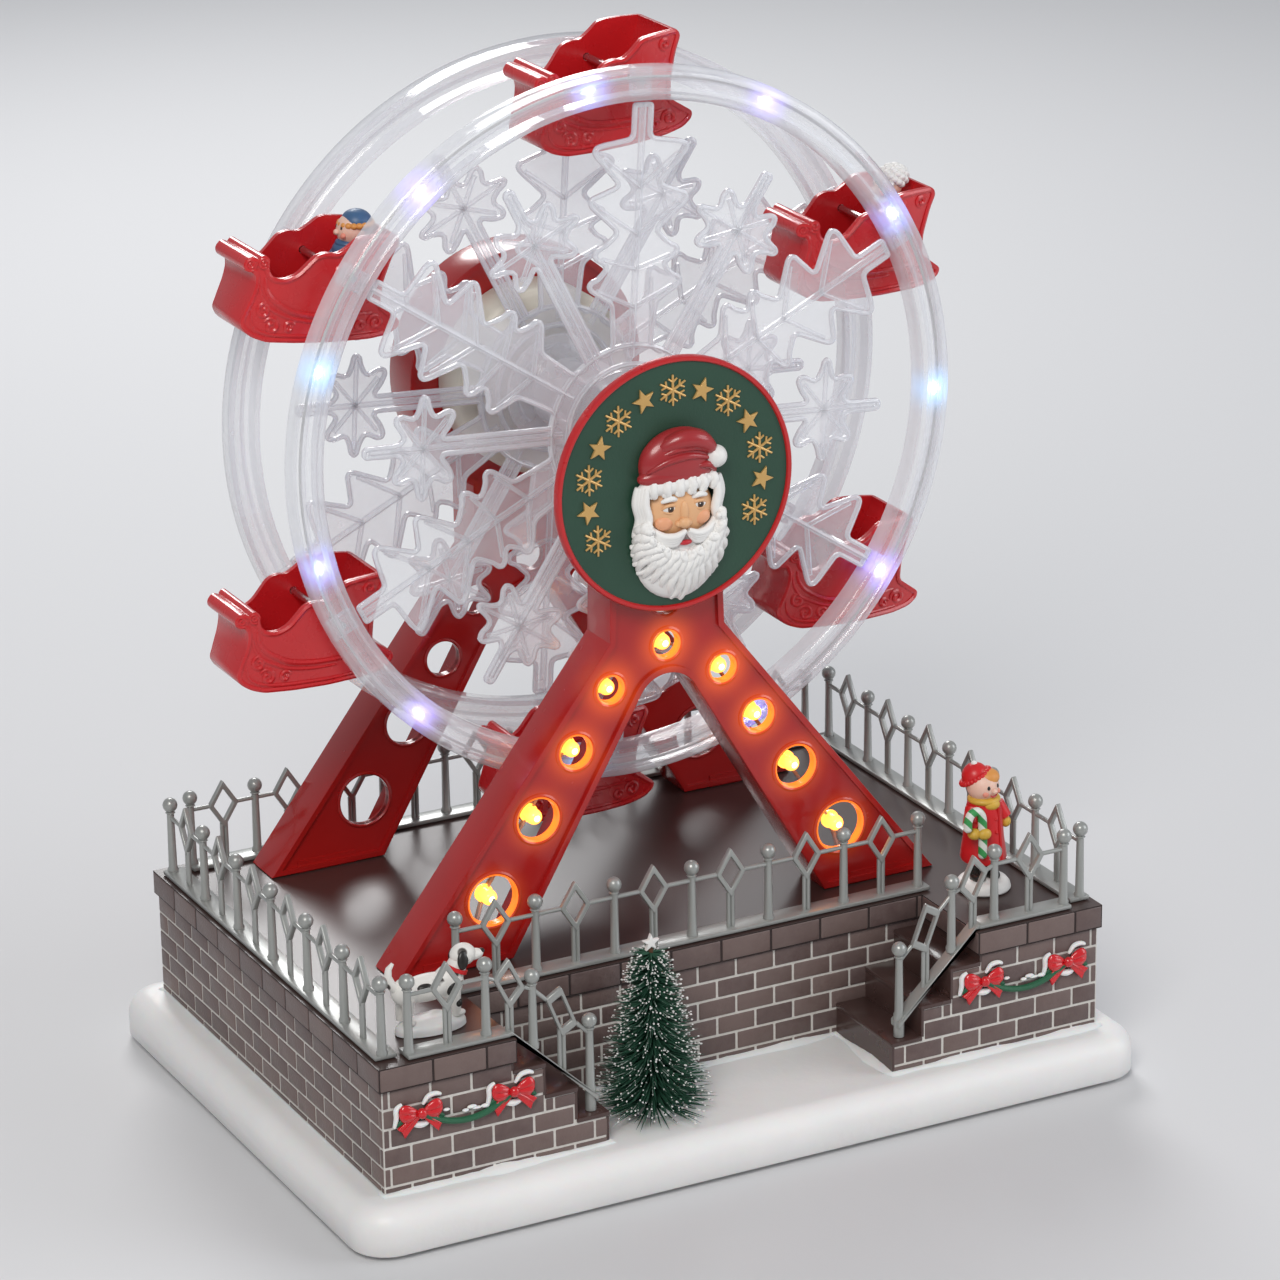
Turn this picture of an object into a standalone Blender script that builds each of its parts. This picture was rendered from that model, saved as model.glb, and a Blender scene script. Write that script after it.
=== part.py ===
"""Musical ferris wheel for a winter village: a lit clear wheel with six sleighs, on a brick platform.

The model is in metres with +Z up. It stands on its feet at z = 0, its front faces -Y, and the
origin is under the middle of its base.
"""

import math

import bmesh
import bpy
from mathutils import Matrix, Vector

MM = 0.001

# Clearances
GAP = 0.3 * MM  # between pieces that seat on each other
RUNNING_GAP = 0.02 * MM  # from a shaft that turns to the flats of its bore
OVERLAP = 1.0 * MM  # how far solids run into each other before they are united or cut

# Snow base, its plate and its feet
FOOT_HEIGHT = 1.5 * MM
FOOT_RADIUS = 6.0 * MM
FOOT_INSET = 17.0 * MM
SNOW_OVERHANG = 10.5 * MM
SNOW_HEIGHT = 13.0 * MM
SNOW_CORNER = 11.0 * MM
SNOW_ROUNDING = 6.5 * MM
SNOW_WALL = 4.0 * MM
DRIFT_HEIGHT = 2.2 * MM
PLATE_THICKNESS = 2.2 * MM

# Brick platform
BRICK_WIDTH = 220.0 * MM
BRICK_HEIGHT = 37.0 * MM
BRICK_WALL = 3.0 * MM
CAP_HEIGHT = 6.8 * MM
CAP_OVERHANG = 1.0 * MM
RECESS_DEPTH = 31.0 * MM
RECESS_HALF_WIDTH = 72.0 * MM
STEP_COUNT = 3
STEP_RUN = 9.3 * MM
FRONT_MARGIN = 15.0 * MM  # from the recess's back wall to the front frame
REAR_MARGIN = 8.0 * MM  # from the rear frame to the platform's back edge

# Fences
FENCE_HEIGHT = 20.0 * MM
FENCE_STRIP_HEIGHT = 1.2 * MM
FENCE_STRIP_WIDTH = 6.4 * MM
FENCE_EDGE = 1.2 * MM
POST_RADIUS = 1.3 * MM
BALL_RADIUS = 2.2 * MM
DIAMOND_WIDTH = 9.6 * MM
DIAMOND_HEIGHT = 15.0 * MM
DIAMOND_BAR = 1.3 * MM
FENCE_BAR_DEPTH = 1.5 * MM
STEM_HALF_WIDTH = 1.3 * MM
FENCE_LINE = 2.6 * MM  # from a strip's outer edge to its posts
SIDE_FENCE_INSET = 5.0 * MM
BACK_FENCE_INSET = 7.0 * MM
RAIL_RADIUS = 0.65 * MM
SIDE_FENCE_BAYS = 6
BACK_FENCE_BAYS = 10
FRONT_FENCE_BAYS = 6
FRONT_FENCE_INSET = 0.2 * MM
WING_FENCE_INSET = 9.5 * MM  # from the platform's side to the wing fence's end post
WING_POST_INSET = 6.0 * MM  # from the stair's side to the wing fence's middle post

# A-frames
AXLE_ABOVE_DECK = 138.2 * MM
FRAME_DEPTH = 14.0 * MM
FRAME_WALL = 1.8 * MM
FRAME_LIP = 1.0 * MM
FRAME_WEB = 2.0 * MM
FOOT_OUTER = 84.2 * MM
FOOT_INNER = 49.0 * MM
INNER_APEX = 83.7 * MM
CROTCH_TOP = 74.4 * MM
NECK_HALF_WIDTH = 17.5 * MM
NECK_BOTTOM = 86.0 * MM
FRONT_HEAD_RADIUS = 16.0 * MM
REAR_HEAD_RADIUS = 36.0 * MM
TONGUE_WIDTH = 18.0 * MM
TONGUE_DEPTH = 2.6 * MM
LAMP_HOLES = (
    (72.5 * MM, 4.3 * MM),
    (56.5 * MM, 5.1 * MM),
    (39.1 * MM, 6.5 * MM),
    (18.3 * MM, 7.6 * MM),
)
TOP_LAMP_HEIGHT = 82.5 * MM
TOP_LAMP_RADIUS = 4.3 * MM
NOTCH_HEIGHT = 95.5 * MM
NOTCH_RADIUS = 4.2 * MM
BULB_RADIUS = 2.3 * MM
WIRE_RADIUS = 0.8 * MM
WIRE_END_REACH = 4.0 * MM  # from the last lamp, outwards
WIRE_END_HEIGHT = 5.0 * MM

# Sign
SIGN_RADIUS = 35.5 * MM
SIGN_RIM = 1.5 * MM
SIGN_ABOVE_DECK = 130.2 * MM
SIGN_FIELD_THICKNESS = 2.2 * MM
SIGN_RIM_HEIGHT = 0.8 * MM
SIGN_ROUNDING = 0.4 * MM
SIGN_BOSS_RADIUS = 20.0 * MM
SIGN_BOSS_HEIGHT = 3.0 * MM

# Wheel
WHEEL_RADIUS = 100.0 * MM
RING_HEIGHT = 9.0 * MM
RING_WIDTH = 6.7 * MM
RING_WALL = 1.5 * MM
RING_SIDES = 36
RING_CLEARANCE = 4.55 * MM  # from the front frame to the front ring
WHEEL_PHASE = math.radians(86.0)  # direction of the arm that carries the first sleigh
FLAKE_THICKNESS = 2.4 * MM
FLAKE_HUB_RADIUS = 24.0 * MM
SLEIGH_COUNT = 6
RING_LAMPS = 11
RING_LAMP_PHASE = math.radians(96.2)
RING_LAMP_RADIUS = 1.2 * MM
RING_WIRE_RADIUS = 0.5 * MM
AXLE_RADIUS = 3.0 * MM
HUB_RADIUS = 16.0 * MM
HUB_WAIST = 10.0 * MM
SLIP_RING_RADIUS = 6.5 * MM
SLIP_RING_LENGTH = 3.6 * MM

# Sleighs and their pins
SLEIGH_WIDTH = 28.0 * MM
SLEIGH_LENGTH = 46.5 * MM
SLEIGH_WALL = 1.8 * MM
SLEIGH_CLEARANCE = 4.5 * MM  # from a sleigh's side to the ring beside it
SLEIGH_SWAY = (-5.0, 6.0, 0.0, 0.0, 0.0, 0.0)  # degrees from level, nose up
SEATED_HEIGHT = 24.0 * MM
PIN_RADIUS = 1.0 * MM
PIN_BAR_WIDTH = 6.0 * MM
PIN_BAR_DEPTH = 2.35 * MM

# Drive
GEAR_MODULE = 1.2 * MM
AXLE_GEAR_TEETH = 24
PINION_TEETH = 8
GEAR_WIDTH = 4.0 * MM
GEAR_STAND = 2.5 * MM  # from the case's front wall to the gear
GEAR_BACKLASH = 0.36 * MM
CASE_RADIUS = 27.0 * MM
CASE_WALL = 1.5 * MM
CASE_DEPTH = 13.2 * MM
CASE_CLEARANCE = 2.55 * MM  # from the rear ring to the gear case
MOTOR_RADIUS = 9.0 * MM
MOTOR_LENGTH = 9.4 * MM
MOTOR_SHAFT_RADIUS = 1.0 * MM
SHAFT_IN_MOTOR = 4.0 * MM
COVER_THICKNESS = 2.4 * MM
BUSH_RADIUS = 5.0 * MM
BUSH_FLANGE = 7.5 * MM
BUSH_FLANGE_THICKNESS = 1.5 * MM

# Electrics in the base
CELL_RADIUS = 7.1 * MM
CELL_LENGTH = 50.0 * MM
CELL_COUNT = 3
TRAY_WALL = 3.0 * MM
CELL_X = -55.0 * MM
CELL_Y = 30.0 * MM
SPEAKER_RADIUS = 18.0 * MM
SPEAKER_HEIGHT = 9.0 * MM
GRILLE_HOLE_RADIUS = 2.0 * MM
SPEAKER_X = 50.0 * MM
SPEAKER_Y = 25.0 * MM
BOARD_WIDTH = 44.0 * MM
BOARD_DEPTH = 30.0 * MM
BOARD_THICKNESS = 1.6 * MM
BOARD_STAND = 5.0 * MM
BOARD_Y = 15.0 * MM
SWITCH_X = 80.0 * MM
SWITCH_TRAVEL = 4.0 * MM
SWITCH_ABOVE_SNOW = 14.0 * MM
KNOB_WIDTH = 4.0 * MM
KNOB_HEIGHT = 4.0 * MM
KNOB_LENGTH = 2.2 * MM

# Figures and ornaments
CHILD_FROM_SIDE = 21.5 * MM
CHILD_FROM_FRONT = 26.0 * MM
CHILD_HEIGHT = 38.0 * MM
DOG_FROM_SIDE = 22.0 * MM
DOG_FROM_FRONT = 16.0 * MM
DOG_HEIGHT = 26.5 * MM
TREE_X = -24.5 * MM
TREE_FROM_FRONT = 11.5 * MM
TREE_HEIGHT = 52.0 * MM
TREE_RADIUS = 18.0 * MM
TREE_STEM_RADIUS = 1.7 * MM
TREE_STRANDS = 300
BOW_HEIGHT_ON_WALL = 22.4 * MM
BOW_SPACING = 27.0 * MM
BOW_WIDTH = 17.6 * MM
BOW_FROM_RECESS = 0.5 * MM

# Levels and places worked out from the sizes above
SNOW_TOP = FOOT_HEIGHT + SNOW_HEIGHT
DECK = SNOW_TOP + BRICK_HEIGHT
AXLE_Z = DECK + AXLE_ABOVE_DECK
RING_SPACING = SLEIGH_WIDTH + 2 * SLEIGH_CLEARANCE + RING_WIDTH
WHEEL_DEPTH = RING_SPACING + RING_WIDTH
CASE_ROOM = CASE_CLEARANCE + CASE_DEPTH + GAP - FRAME_LIP
FRAME_SPACING = FRAME_DEPTH + RING_CLEARANCE + WHEEL_DEPTH + CASE_ROOM
BRICK_DEPTH = RECESS_DEPTH + FRONT_MARGIN + FRAME_SPACING + FRAME_DEPTH + REAR_MARGIN
BRICK_RIGHT = BRICK_WIDTH / 2
BRICK_BACK = BRICK_DEPTH / 2
WING_FRONT = -BRICK_BACK
RECESS_FRONT = WING_FRONT + RECESS_DEPTH
FRONT_FRAME_FACE = RECESS_FRONT + FRONT_MARGIN
REAR_FRAME_FACE = FRONT_FRAME_FACE + FRAME_SPACING
WHEEL_Y = FRONT_FRAME_FACE + FRAME_DEPTH + RING_CLEARANCE + WHEEL_DEPTH / 2
STEP_RISE = BRICK_HEIGHT / (STEP_COUNT + 1)
PIVOT_RADIUS = WHEEL_RADIUS - RING_HEIGHT / 2
RING_INNER = WHEEL_RADIUS - RING_HEIGHT
FLAT_SHARE = math.cos(math.pi / RING_SIDES)  # how near the axle the ring's flats come
FRONT_RING_Y = WHEEL_Y - RING_SPACING / 2
REAR_RING_Y = WHEEL_Y + RING_SPACING / 2
WHEEL_CENTRE = (0.0, WHEEL_Y, AXLE_Z)


# Materials

def finish(name, colour, roughness, metallic=0.0, transmission=0.0):
    made = bpy.data.materials.new(name)
    made.use_nodes = True
    shader = made.node_tree.nodes["Principled BSDF"]
    shader.inputs["Base Color"].default_value = (*colour, 1.0)
    shader.inputs["Roughness"].default_value = roughness
    shader.inputs["Metallic"].default_value = metallic
    shader.inputs["Transmission Weight"].default_value = transmission
    return made


for old in list(bpy.data.objects):
    bpy.data.objects.remove(old)

PARTS = bpy.data.collections.new("musical_ferris_wheel")
WORK = bpy.data.collections.new("cutters")
for group in (PARTS, WORK):
    bpy.context.scene.collection.children.link(group)

SNOW = finish("snow_white_plastic", (0.83, 0.82, 0.80), 0.35)
BRICK = finish("glazed_brick_brown", (0.115, 0.062, 0.05), 0.28)
GREY = finish("fence_silver_grey", (0.33, 0.34, 0.33), 0.4)
RED = finish("frame_red_plastic", (0.42, 0.006, 0.008), 0.25)
SLEIGH_RED = finish("sleigh_red_plastic", (0.55, 0.012, 0.018), 0.25)
GREEN = finish("sign_green", (0.045, 0.075, 0.05), 0.4)
CREAM = finish("relief_white", (0.8, 0.8, 0.77), 0.4)
CLEAR = finish("clear_acrylic", (0.85, 0.87, 0.9), 0.05, 0.0, 0.9)
STEEL = finish("bright_steel", (0.6, 0.6, 0.6), 0.25, 1.0)
BRASS = finish("sintered_bronze", (0.5, 0.32, 0.14), 0.4, 1.0)
AMBER = finish("amber_lamp", (0.9, 0.4, 0.05), 0.2)
COOL = finish("white_lamp", (0.85, 0.88, 1.0), 0.2)
RUBBER = finish("black_rubber", (0.02, 0.02, 0.02), 0.8)
WHITE = finish("white_nylon", (0.75, 0.74, 0.7), 0.45)
BOARD = finish("board_green", (0.02, 0.15, 0.06), 0.5)
BLACK = finish("black_plastic", (0.02, 0.02, 0.02), 0.4)
COAT = finish("painted_coat_red", (0.6, 0.02, 0.03), 0.35)
BLUE = finish("painted_coat_blue", (0.05, 0.1, 0.2), 0.35)
FUR = finish("painted_white", (0.75, 0.74, 0.7), 0.4)
NEEDLES = finish("tree_green", (0.02, 0.07, 0.035), 0.8)
RIBBON = finish("ribbon_red", (0.6, 0.01, 0.02), 0.4)


# Meshes and the operations on them

def mesh_of(shape, name="shape"):
    bmesh.ops.remove_doubles(shape, verts=shape.verts, dist=0.001 * MM)
    bmesh.ops.recalc_face_normals(shape, faces=shape.faces)
    mesh = bpy.data.meshes.new(name)
    shape.to_mesh(mesh)
    shape.free()
    return mesh


def bake(piece):
    """The mesh that an object's modifiers give, with the object removed."""
    bpy.context.view_layer.update()
    graph = bpy.context.evaluated_depsgraph_get()
    mesh = bpy.data.meshes.new_from_object(piece.evaluated_get(graph), depsgraph=graph)
    bpy.data.objects.remove(piece)
    shape = bmesh.new()
    shape.from_mesh(mesh)
    return mesh_of(shape)


def work_object(mesh):
    piece = bpy.data.objects.new("work", mesh)
    WORK.objects.link(piece)
    piece.hide_render = True
    piece.display_type = "WIRE"
    return piece


def combined(mesh, others, operation):
    piece = work_object(mesh)
    operands = bpy.data.collections.new("operands")
    bpy.context.scene.collection.children.link(operands)
    helpers = [bpy.data.objects.new("operand", other) for other in others]
    for helper in helpers:
        operands.objects.link(helper)
    boolean = piece.modifiers.new("combine", "BOOLEAN")
    boolean.operation = operation
    boolean.solver = "EXACT"
    boolean.operand_type = "COLLECTION"
    boolean.collection = operands
    result = bake(piece)
    for helper in helpers:
        bpy.data.objects.remove(helper)
    bpy.data.collections.remove(operands)
    return result


def united(meshes):
    return combined(meshes[0], meshes[1:], "UNION")


def cut(mesh, cutters):
    return combined(mesh, cutters, "DIFFERENCE")


def bevelled(mesh, width, segments=2, angle=40.0):
    piece = work_object(mesh)
    bevel = piece.modifiers.new("round", "BEVEL")
    bevel.width = width
    bevel.segments = segments
    bevel.limit_method = "ANGLE"
    bevel.angle_limit = math.radians(angle)
    return bake(piece)


def moved(mesh, matrix):
    copy = mesh.copy()
    copy.transform(matrix)
    if matrix.determinant() < 0:
        copy.flip_normals()
    return copy


def shifted(mesh, offset):
    return moved(mesh, Matrix.Translation(offset))


def mirrored(mesh):
    return moved(mesh, Matrix.Scale(-1, 4, Vector((1, 0, 0))))


def joined(meshes):
    """Several meshes that don't touch, as one mesh for a Boolean."""
    shape = bmesh.new()
    for mesh in meshes:
        shape.from_mesh(mesh)
    return mesh_of(shape)


# Simple solids

def block(x, y, z):
    shape = bmesh.new()
    bmesh.ops.create_cube(shape, size=1.0)
    size = Vector((x[1] - x[0], y[1] - y[0], z[1] - z[0]))
    middle = Vector((x[0] + x[1], y[0] + y[1], z[0] + z[1])) / 2
    bmesh.ops.scale(shape, vec=size, verts=shape.verts)
    bmesh.ops.translate(shape, vec=middle, verts=shape.verts)
    return mesh_of(shape)


def rod(start, end, radius, end_radius=None, sides=8):
    start, end = Vector(start), Vector(end)
    along = end - start
    turn = along.to_track_quat("Z", "Y").to_matrix().to_4x4()
    shape = bmesh.new()
    bmesh.ops.create_cone(
        shape,
        cap_ends=True,
        segments=sides,
        radius1=radius,
        radius2=radius if end_radius is None else end_radius,
        depth=along.length,
        matrix=Matrix.Translation((start + end) / 2) @ turn,
    )
    return mesh_of(shape)


def ball(centre, radii, around=8, along=6, tilt=0.0):
    """An ellipsoid, turned by tilt about Y."""
    if not hasattr(radii, "__len__"):
        radii = (radii, radii, radii)
    size = Matrix.Diagonal((*radii, 1.0)) @ Matrix.Rotation(0.2, 4, "Z")
    place = Matrix.Translation(centre) @ Matrix.Rotation(tilt, 4, "Y") @ size
    shape = bmesh.new()
    bmesh.ops.create_uvsphere(
        shape, u_segments=around, v_segments=along, radius=1.0, matrix=place
    )
    return mesh_of(shape)


def turned(profile, steps, place):
    """A profile of (radius, height) points, turned about Z, then placed."""
    shape = bmesh.new()
    points = [shape.verts.new((radius, 0.0, height)) for radius, height in profile]
    for first, second in zip(points, points[1:]):
        shape.edges.new((first, second))
    if profile[0][0] > 0 and profile[-1][0] > 0:
        shape.edges.new((points[-1], points[0]))
    mesh = bpy.data.meshes.new("profile")
    shape.to_mesh(mesh)
    shape.free()
    piece = work_object(mesh)
    screw = piece.modifiers.new("turn", "SCREW")
    screw.steps = steps
    screw.render_steps = steps
    screw.use_merge_vertices = True
    screw.merge_threshold = 0.01 * MM
    screw.use_smooth_shade = False
    return moved(bake(piece), place)


def along_y(x, y, z):
    """Places a shape turned about Z so that its axis runs along +Y."""
    return Matrix.Translation((x, y, z)) @ Matrix.Rotation(math.radians(-90), 4, "X")


def outline_prism(outlines, thickness, place):
    """A flat outline, with any holes, as thick as stated and centred on its plane."""
    curve = bpy.data.curves.new("outline", "CURVE")
    curve.dimensions = "2D"
    curve.fill_mode = "BOTH"
    curve.extrude = thickness / 2
    for outline in outlines:
        spline = curve.splines.new("POLY")
        spline.points.add(len(outline) - 1)
        for point, (across, up) in zip(spline.points, outline):
            point.co = (across, up, 0.0, 1.0)
        spline.use_cyclic_u = True
    piece = bpy.data.objects.new("outline", curve)
    WORK.objects.link(piece)
    mesh = bake(piece)
    return moved(mesh, place)


def plate_xz(outlines, y_low, y_high, x=0.0, z=0.0):
    """An outline drawn as (x, z), standing between two values of y."""
    middle = (y_low + y_high) / 2
    place = Matrix.Translation((x, middle, z)) @ Matrix.Rotation(math.radians(90), 4, "X")
    return outline_prism(outlines, y_high - y_low, place)


def tube(points, radius, resolution=1, closed=False):
    curve = bpy.data.curves.new("tube", "CURVE")
    curve.dimensions = "3D"
    curve.bevel_depth = radius
    curve.bevel_resolution = resolution
    curve.use_fill_caps = True
    spline = curve.splines.new("POLY")
    spline.points.add(len(points) - 1)
    for point, place in zip(spline.points, points):
        point.co = (*place, 1.0)
    spline.use_cyclic_u = closed
    piece = bpy.data.objects.new("tube", curve)
    WORK.objects.link(piece)
    return bake(piece)


# Outlines

def arc(centre, radius, start, end, count):
    """Points on an arc, from one angle to another in radians."""
    steps = [start + (end - start) * i / (count - 1) for i in range(count)]
    return [(centre[0] + radius * math.cos(a), centre[1] + radius * math.sin(a)) for a in steps]


def circle(centre, radius, count=8):
    return arc(centre, radius, 0.0, 2 * math.pi * (count - 1) / count, count)


def inset(outline, distance):
    """A closed anticlockwise outline, moved inwards by a distance."""
    result = []
    for i, point in enumerate(outline):
        before = Vector(outline[i - 1])
        here = Vector(point)
        after = Vector(outline[(i + 1) % len(outline)])
        first = (here - before).normalized()
        second = (after - here).normalized()
        inward = Vector((-first.y, first.x)) + Vector((-second.y, second.x))
        inward.normalize()
        slant = inward.dot(Vector((-first.y, first.x)))
        result.append(tuple(here + inward * distance / max(slant, 0.4)))
    return result


def mirror_outline(half):
    """A right half, from bottom to top, closed by its mirror image."""
    left = [(-x, z) for x, z in reversed(half) if x > 0.01 * MM]
    return half + left


def show(name, mesh, colour, smooth=True, origin=None):
    """Adds a finished piece. One that turns has its origin put on its axis, its shape left in place."""
    piece = bpy.data.objects.new(name, mesh)
    if origin is not None:
        mesh.transform(Matrix.Translation(-Vector(origin)))
        piece.location = origin
    mesh.name = name
    mesh.materials.clear()
    mesh.materials.append(colour)
    if smooth:
        mesh.shade_smooth()
        mesh.set_sharp_from_angle(angle=math.radians(35))
    PARTS.objects.link(piece)
    return piece


def bore_radius(shaft, sides):
    """The corner radius of a bore of so many sides that a shaft turns in."""
    return (shaft + RUNNING_GAP) / math.cos(math.pi / sides)


# Base

def snow_base():
    half_width = BRICK_RIGHT + SNOW_OVERHANG
    half_depth = BRICK_BACK + SNOW_OVERHANG
    across = (-half_width, half_width)
    along = (-half_depth, half_depth)
    shape = bmesh.new()
    shape.from_mesh(block(across, along, (FOOT_HEIGHT, SNOW_TOP)))
    upright = [e for e in shape.edges if abs(e.verts[0].co.z - e.verts[1].co.z) > SNOW_HEIGHT / 2]
    rounded = {"profile": 0.5, "affect": "EDGES"}
    bmesh.ops.bevel(shape, geom=upright, offset=SNOW_CORNER, segments=4, **rounded)
    top = [e for e in shape.edges if min(v.co.z for v in e.verts) > SNOW_TOP - GAP]
    bmesh.ops.bevel(shape, geom=top, offset=SNOW_ROUNDING, segments=3, **rounded)
    body = mesh_of(shape)
    inner_x = half_width - SNOW_WALL
    inner_y = half_depth - SNOW_WALL
    ceiling = FOOT_HEIGHT + PLATE_THICKNESS + 2 * GAP
    hollow = block((-inner_x, inner_x), (-inner_y, inner_y), (0.0, ceiling))
    window_x = BRICK_RIGHT - 4 * BRICK_WALL
    window_front = RECESS_FRONT + 3 * BRICK_WALL
    window_back = BRICK_BACK - 4 * BRICK_WALL
    window_top = SNOW_TOP + BRICK_WALL
    window = block((-window_x, window_x), (window_front, window_back), (0.0, window_top))
    body = cut(body, [hollow])
    body = cut(body, [window])
    drift_length = 2 * (RECESS_HALF_WIDTH - STEP_COUNT * STEP_RUN) - 4 * GAP
    drift_depth = 0.58 * RECESS_DEPTH
    drift_y = RECESS_FRONT - drift_depth / 2 - 2 * GAP
    drift = ball(
        (0.0, drift_y, SNOW_TOP - DRIFT_HEIGHT / 4),
        (drift_length / 2, drift_depth / 2, DRIFT_HEIGHT),
        16,
        8,
    )
    body = united([body, drift])
    show("snow_base", body, SNOW)


def bottom_plate():
    half_x = BRICK_RIGHT + SNOW_OVERHANG - SNOW_WALL - GAP
    half_y = BRICK_BACK + SNOW_OVERHANG - SNOW_WALL - GAP
    low = FOOT_HEIGHT + GAP
    high = low + PLATE_THICKNESS
    body = block((-half_x, half_x), (-half_y, half_y), (low, high))
    door_x, door_y = door_half_size()
    opening = block(
        (CELL_X - door_x, CELL_X + door_x), (CELL_Y - door_y, CELL_Y + door_y), (0.0, 2 * high)
    )
    tray_x = door_x + TRAY_WALL
    tray_y = door_y + TRAY_WALL
    tray_top = high + CELL_RADIUS
    tray = block((CELL_X - tray_x, CELL_X + tray_x), (CELL_Y - tray_y, CELL_Y + tray_y), (low, tray_top))
    tray_room = block(
        (CELL_X - door_x, CELL_X + door_x), (CELL_Y - door_y, CELL_Y + door_y), (0.0, 2 * tray_top)
    )
    body = united([body, tray])
    body = cut(body, [opening])
    body = cut(body, [tray_room])
    posts = [
        rod((x, BOARD_Y + y, low), (x, BOARD_Y + y, high + BOARD_STAND), 2.0 * MM, sides=6)
        for x in (-BOARD_WIDTH / 2 + 4 * MM, BOARD_WIDTH / 2 - 4 * MM)
        for y in (-BOARD_DEPTH / 2 + 4 * MM, BOARD_DEPTH / 2 - 4 * MM)
    ]
    body = united([body] + posts)
    holes = [(SPEAKER_X, SPEAKER_Y)] + circle((SPEAKER_X, SPEAKER_Y), SPEAKER_RADIUS / 2, 4)
    grille = [rod((x, y, 0.0), (x, y, 2 * high), GRILLE_HOLE_RADIUS, sides=6) for x, y in holes]
    show("bottom_plate", cut(body, grille), BLACK)


def door_half_size():
    return CELL_COUNT * (CELL_RADIUS + GAP) + 2 * GAP, CELL_LENGTH / 2 + 2 * GAP


def battery_door():
    door_x, door_y = door_half_size()
    low = FOOT_HEIGHT + GAP
    body = block(
        (CELL_X - door_x + GAP, CELL_X + door_x - GAP),
        (CELL_Y - door_y + GAP, CELL_Y + door_y - GAP),
        (low, low + PLATE_THICKNESS),
    )
    grip = block(
        (CELL_X - CELL_RADIUS, CELL_X + CELL_RADIUS),
        (CELL_Y - 0.84 * door_y, CELL_Y - 0.76 * door_y),
        (0.0, low + PLATE_THICKNESS / 3),
    )
    show("battery_door", cut(body, [grip]), BLACK)


def battery_cells():
    height = FOOT_HEIGHT + 2 * GAP + PLATE_THICKNESS + CELL_RADIUS
    pitch = 2 * (CELL_RADIUS + GAP)
    for i in range(CELL_COUNT):
        x = CELL_X + (i - (CELL_COUNT - 1) / 2) * pitch
        start = CELL_Y - CELL_LENGTH / 2
        nub = 1.5 * MM
        body = rod((x, start, height), (x, start + CELL_LENGTH - nub, height), CELL_RADIUS, sides=12)
        tip = rod((x, start + CELL_LENGTH / 2, height), (x, start + CELL_LENGTH, height), 2.6 * MM)
        show(f"battery_cell_{i + 1}", united([body, tip]), STEEL)


def rubber_feet():
    for i, (side, end) in enumerate(((-1, -1), (1, -1), (1, 1), (-1, 1))):
        x = side * (BRICK_RIGHT + SNOW_OVERHANG - FOOT_INSET)
        y = end * (BRICK_BACK + SNOW_OVERHANG - FOOT_INSET)
        foot = turned(
            [(0.0, FOOT_HEIGHT), (FOOT_RADIUS, FOOT_HEIGHT), (FOOT_RADIUS - 0.6 * MM, 0.0), (0.0, 0.0)],
            12,
            Matrix.Translation((x, y, 0.0)),
        )
        show(f"rubber_foot_{i + 1}", foot, RUBBER)


def brick_platform():
    low = SNOW_TOP + GAP
    cap = DECK - CAP_HEIGHT
    edge = CAP_OVERHANG
    inner = RECESS_HALF_WIDTH
    cap_side = BRICK_RIGHT + edge
    cap_y = (RECESS_FRONT - edge, BRICK_BACK + edge)
    solids = [
        block((-BRICK_RIGHT, BRICK_RIGHT), (RECESS_FRONT, BRICK_BACK), (low, DECK - OVERLAP)),
        block((-cap_side, cap_side), cap_y, (cap, DECK)),
    ]
    for side in (-1, 1):
        wing = sorted((side * inner, side * BRICK_RIGHT))
        wing_cap = sorted((side * (inner - edge), side * cap_side))
        wing_back = RECESS_FRONT + OVERLAP
        solids.append(block(wing, (WING_FRONT, wing_back), (low, DECK - OVERLAP)))
        solids.append(block(wing_cap, (WING_FRONT - edge, wing_back), (cap, DECK)))
        for i in range(STEP_COUNT):
            tread = DECK - (i + 1) * STEP_RISE
            reach = inner - (i + 1) * STEP_RUN
            across = sorted((side * reach, side * (inner + OVERLAP)))
            solids.append(block(across, (WING_FRONT, wing_back), (low, tread)))
    body = united(solids)
    room = BRICK_RIGHT - BRICK_WALL
    roof = DECK - BRICK_WALL
    rooms = [block((-room, room), (RECESS_FRONT + BRICK_WALL, BRICK_BACK - BRICK_WALL), (0.0, roof))]
    for side in (-1, 1):
        across = sorted((side * (inner + BRICK_WALL), side * room))
        rooms.append(block(across, (WING_FRONT + BRICK_WALL, RECESS_FRONT + 2 * BRICK_WALL), (0.0, roof)))
    body = cut(body, rooms)
    slots = [tongue_slot(face, side) for face in (FRONT_FRAME_FACE, REAR_FRAME_FACE) for side in (-1, 1)]
    half_slot = KNOB_WIDTH / 2 + SWITCH_TRAVEL / 2 + GAP
    switch_z = SNOW_TOP + SWITCH_ABOVE_SNOW
    slots.append(
        block(
            (SWITCH_X - half_slot, SWITCH_X + half_slot),
            (BRICK_BACK - 2 * BRICK_WALL, BRICK_BACK + 2 * BRICK_WALL),
            (switch_z - KNOB_HEIGHT / 2 - GAP, switch_z + KNOB_HEIGHT / 2 + GAP),
        )
    )
    show("brick_platform", cut(body, slots), BRICK, smooth=False)


def tongue_middle(side):
    return side * (FOOT_INNER + FOOT_OUTER) / 2


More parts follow.
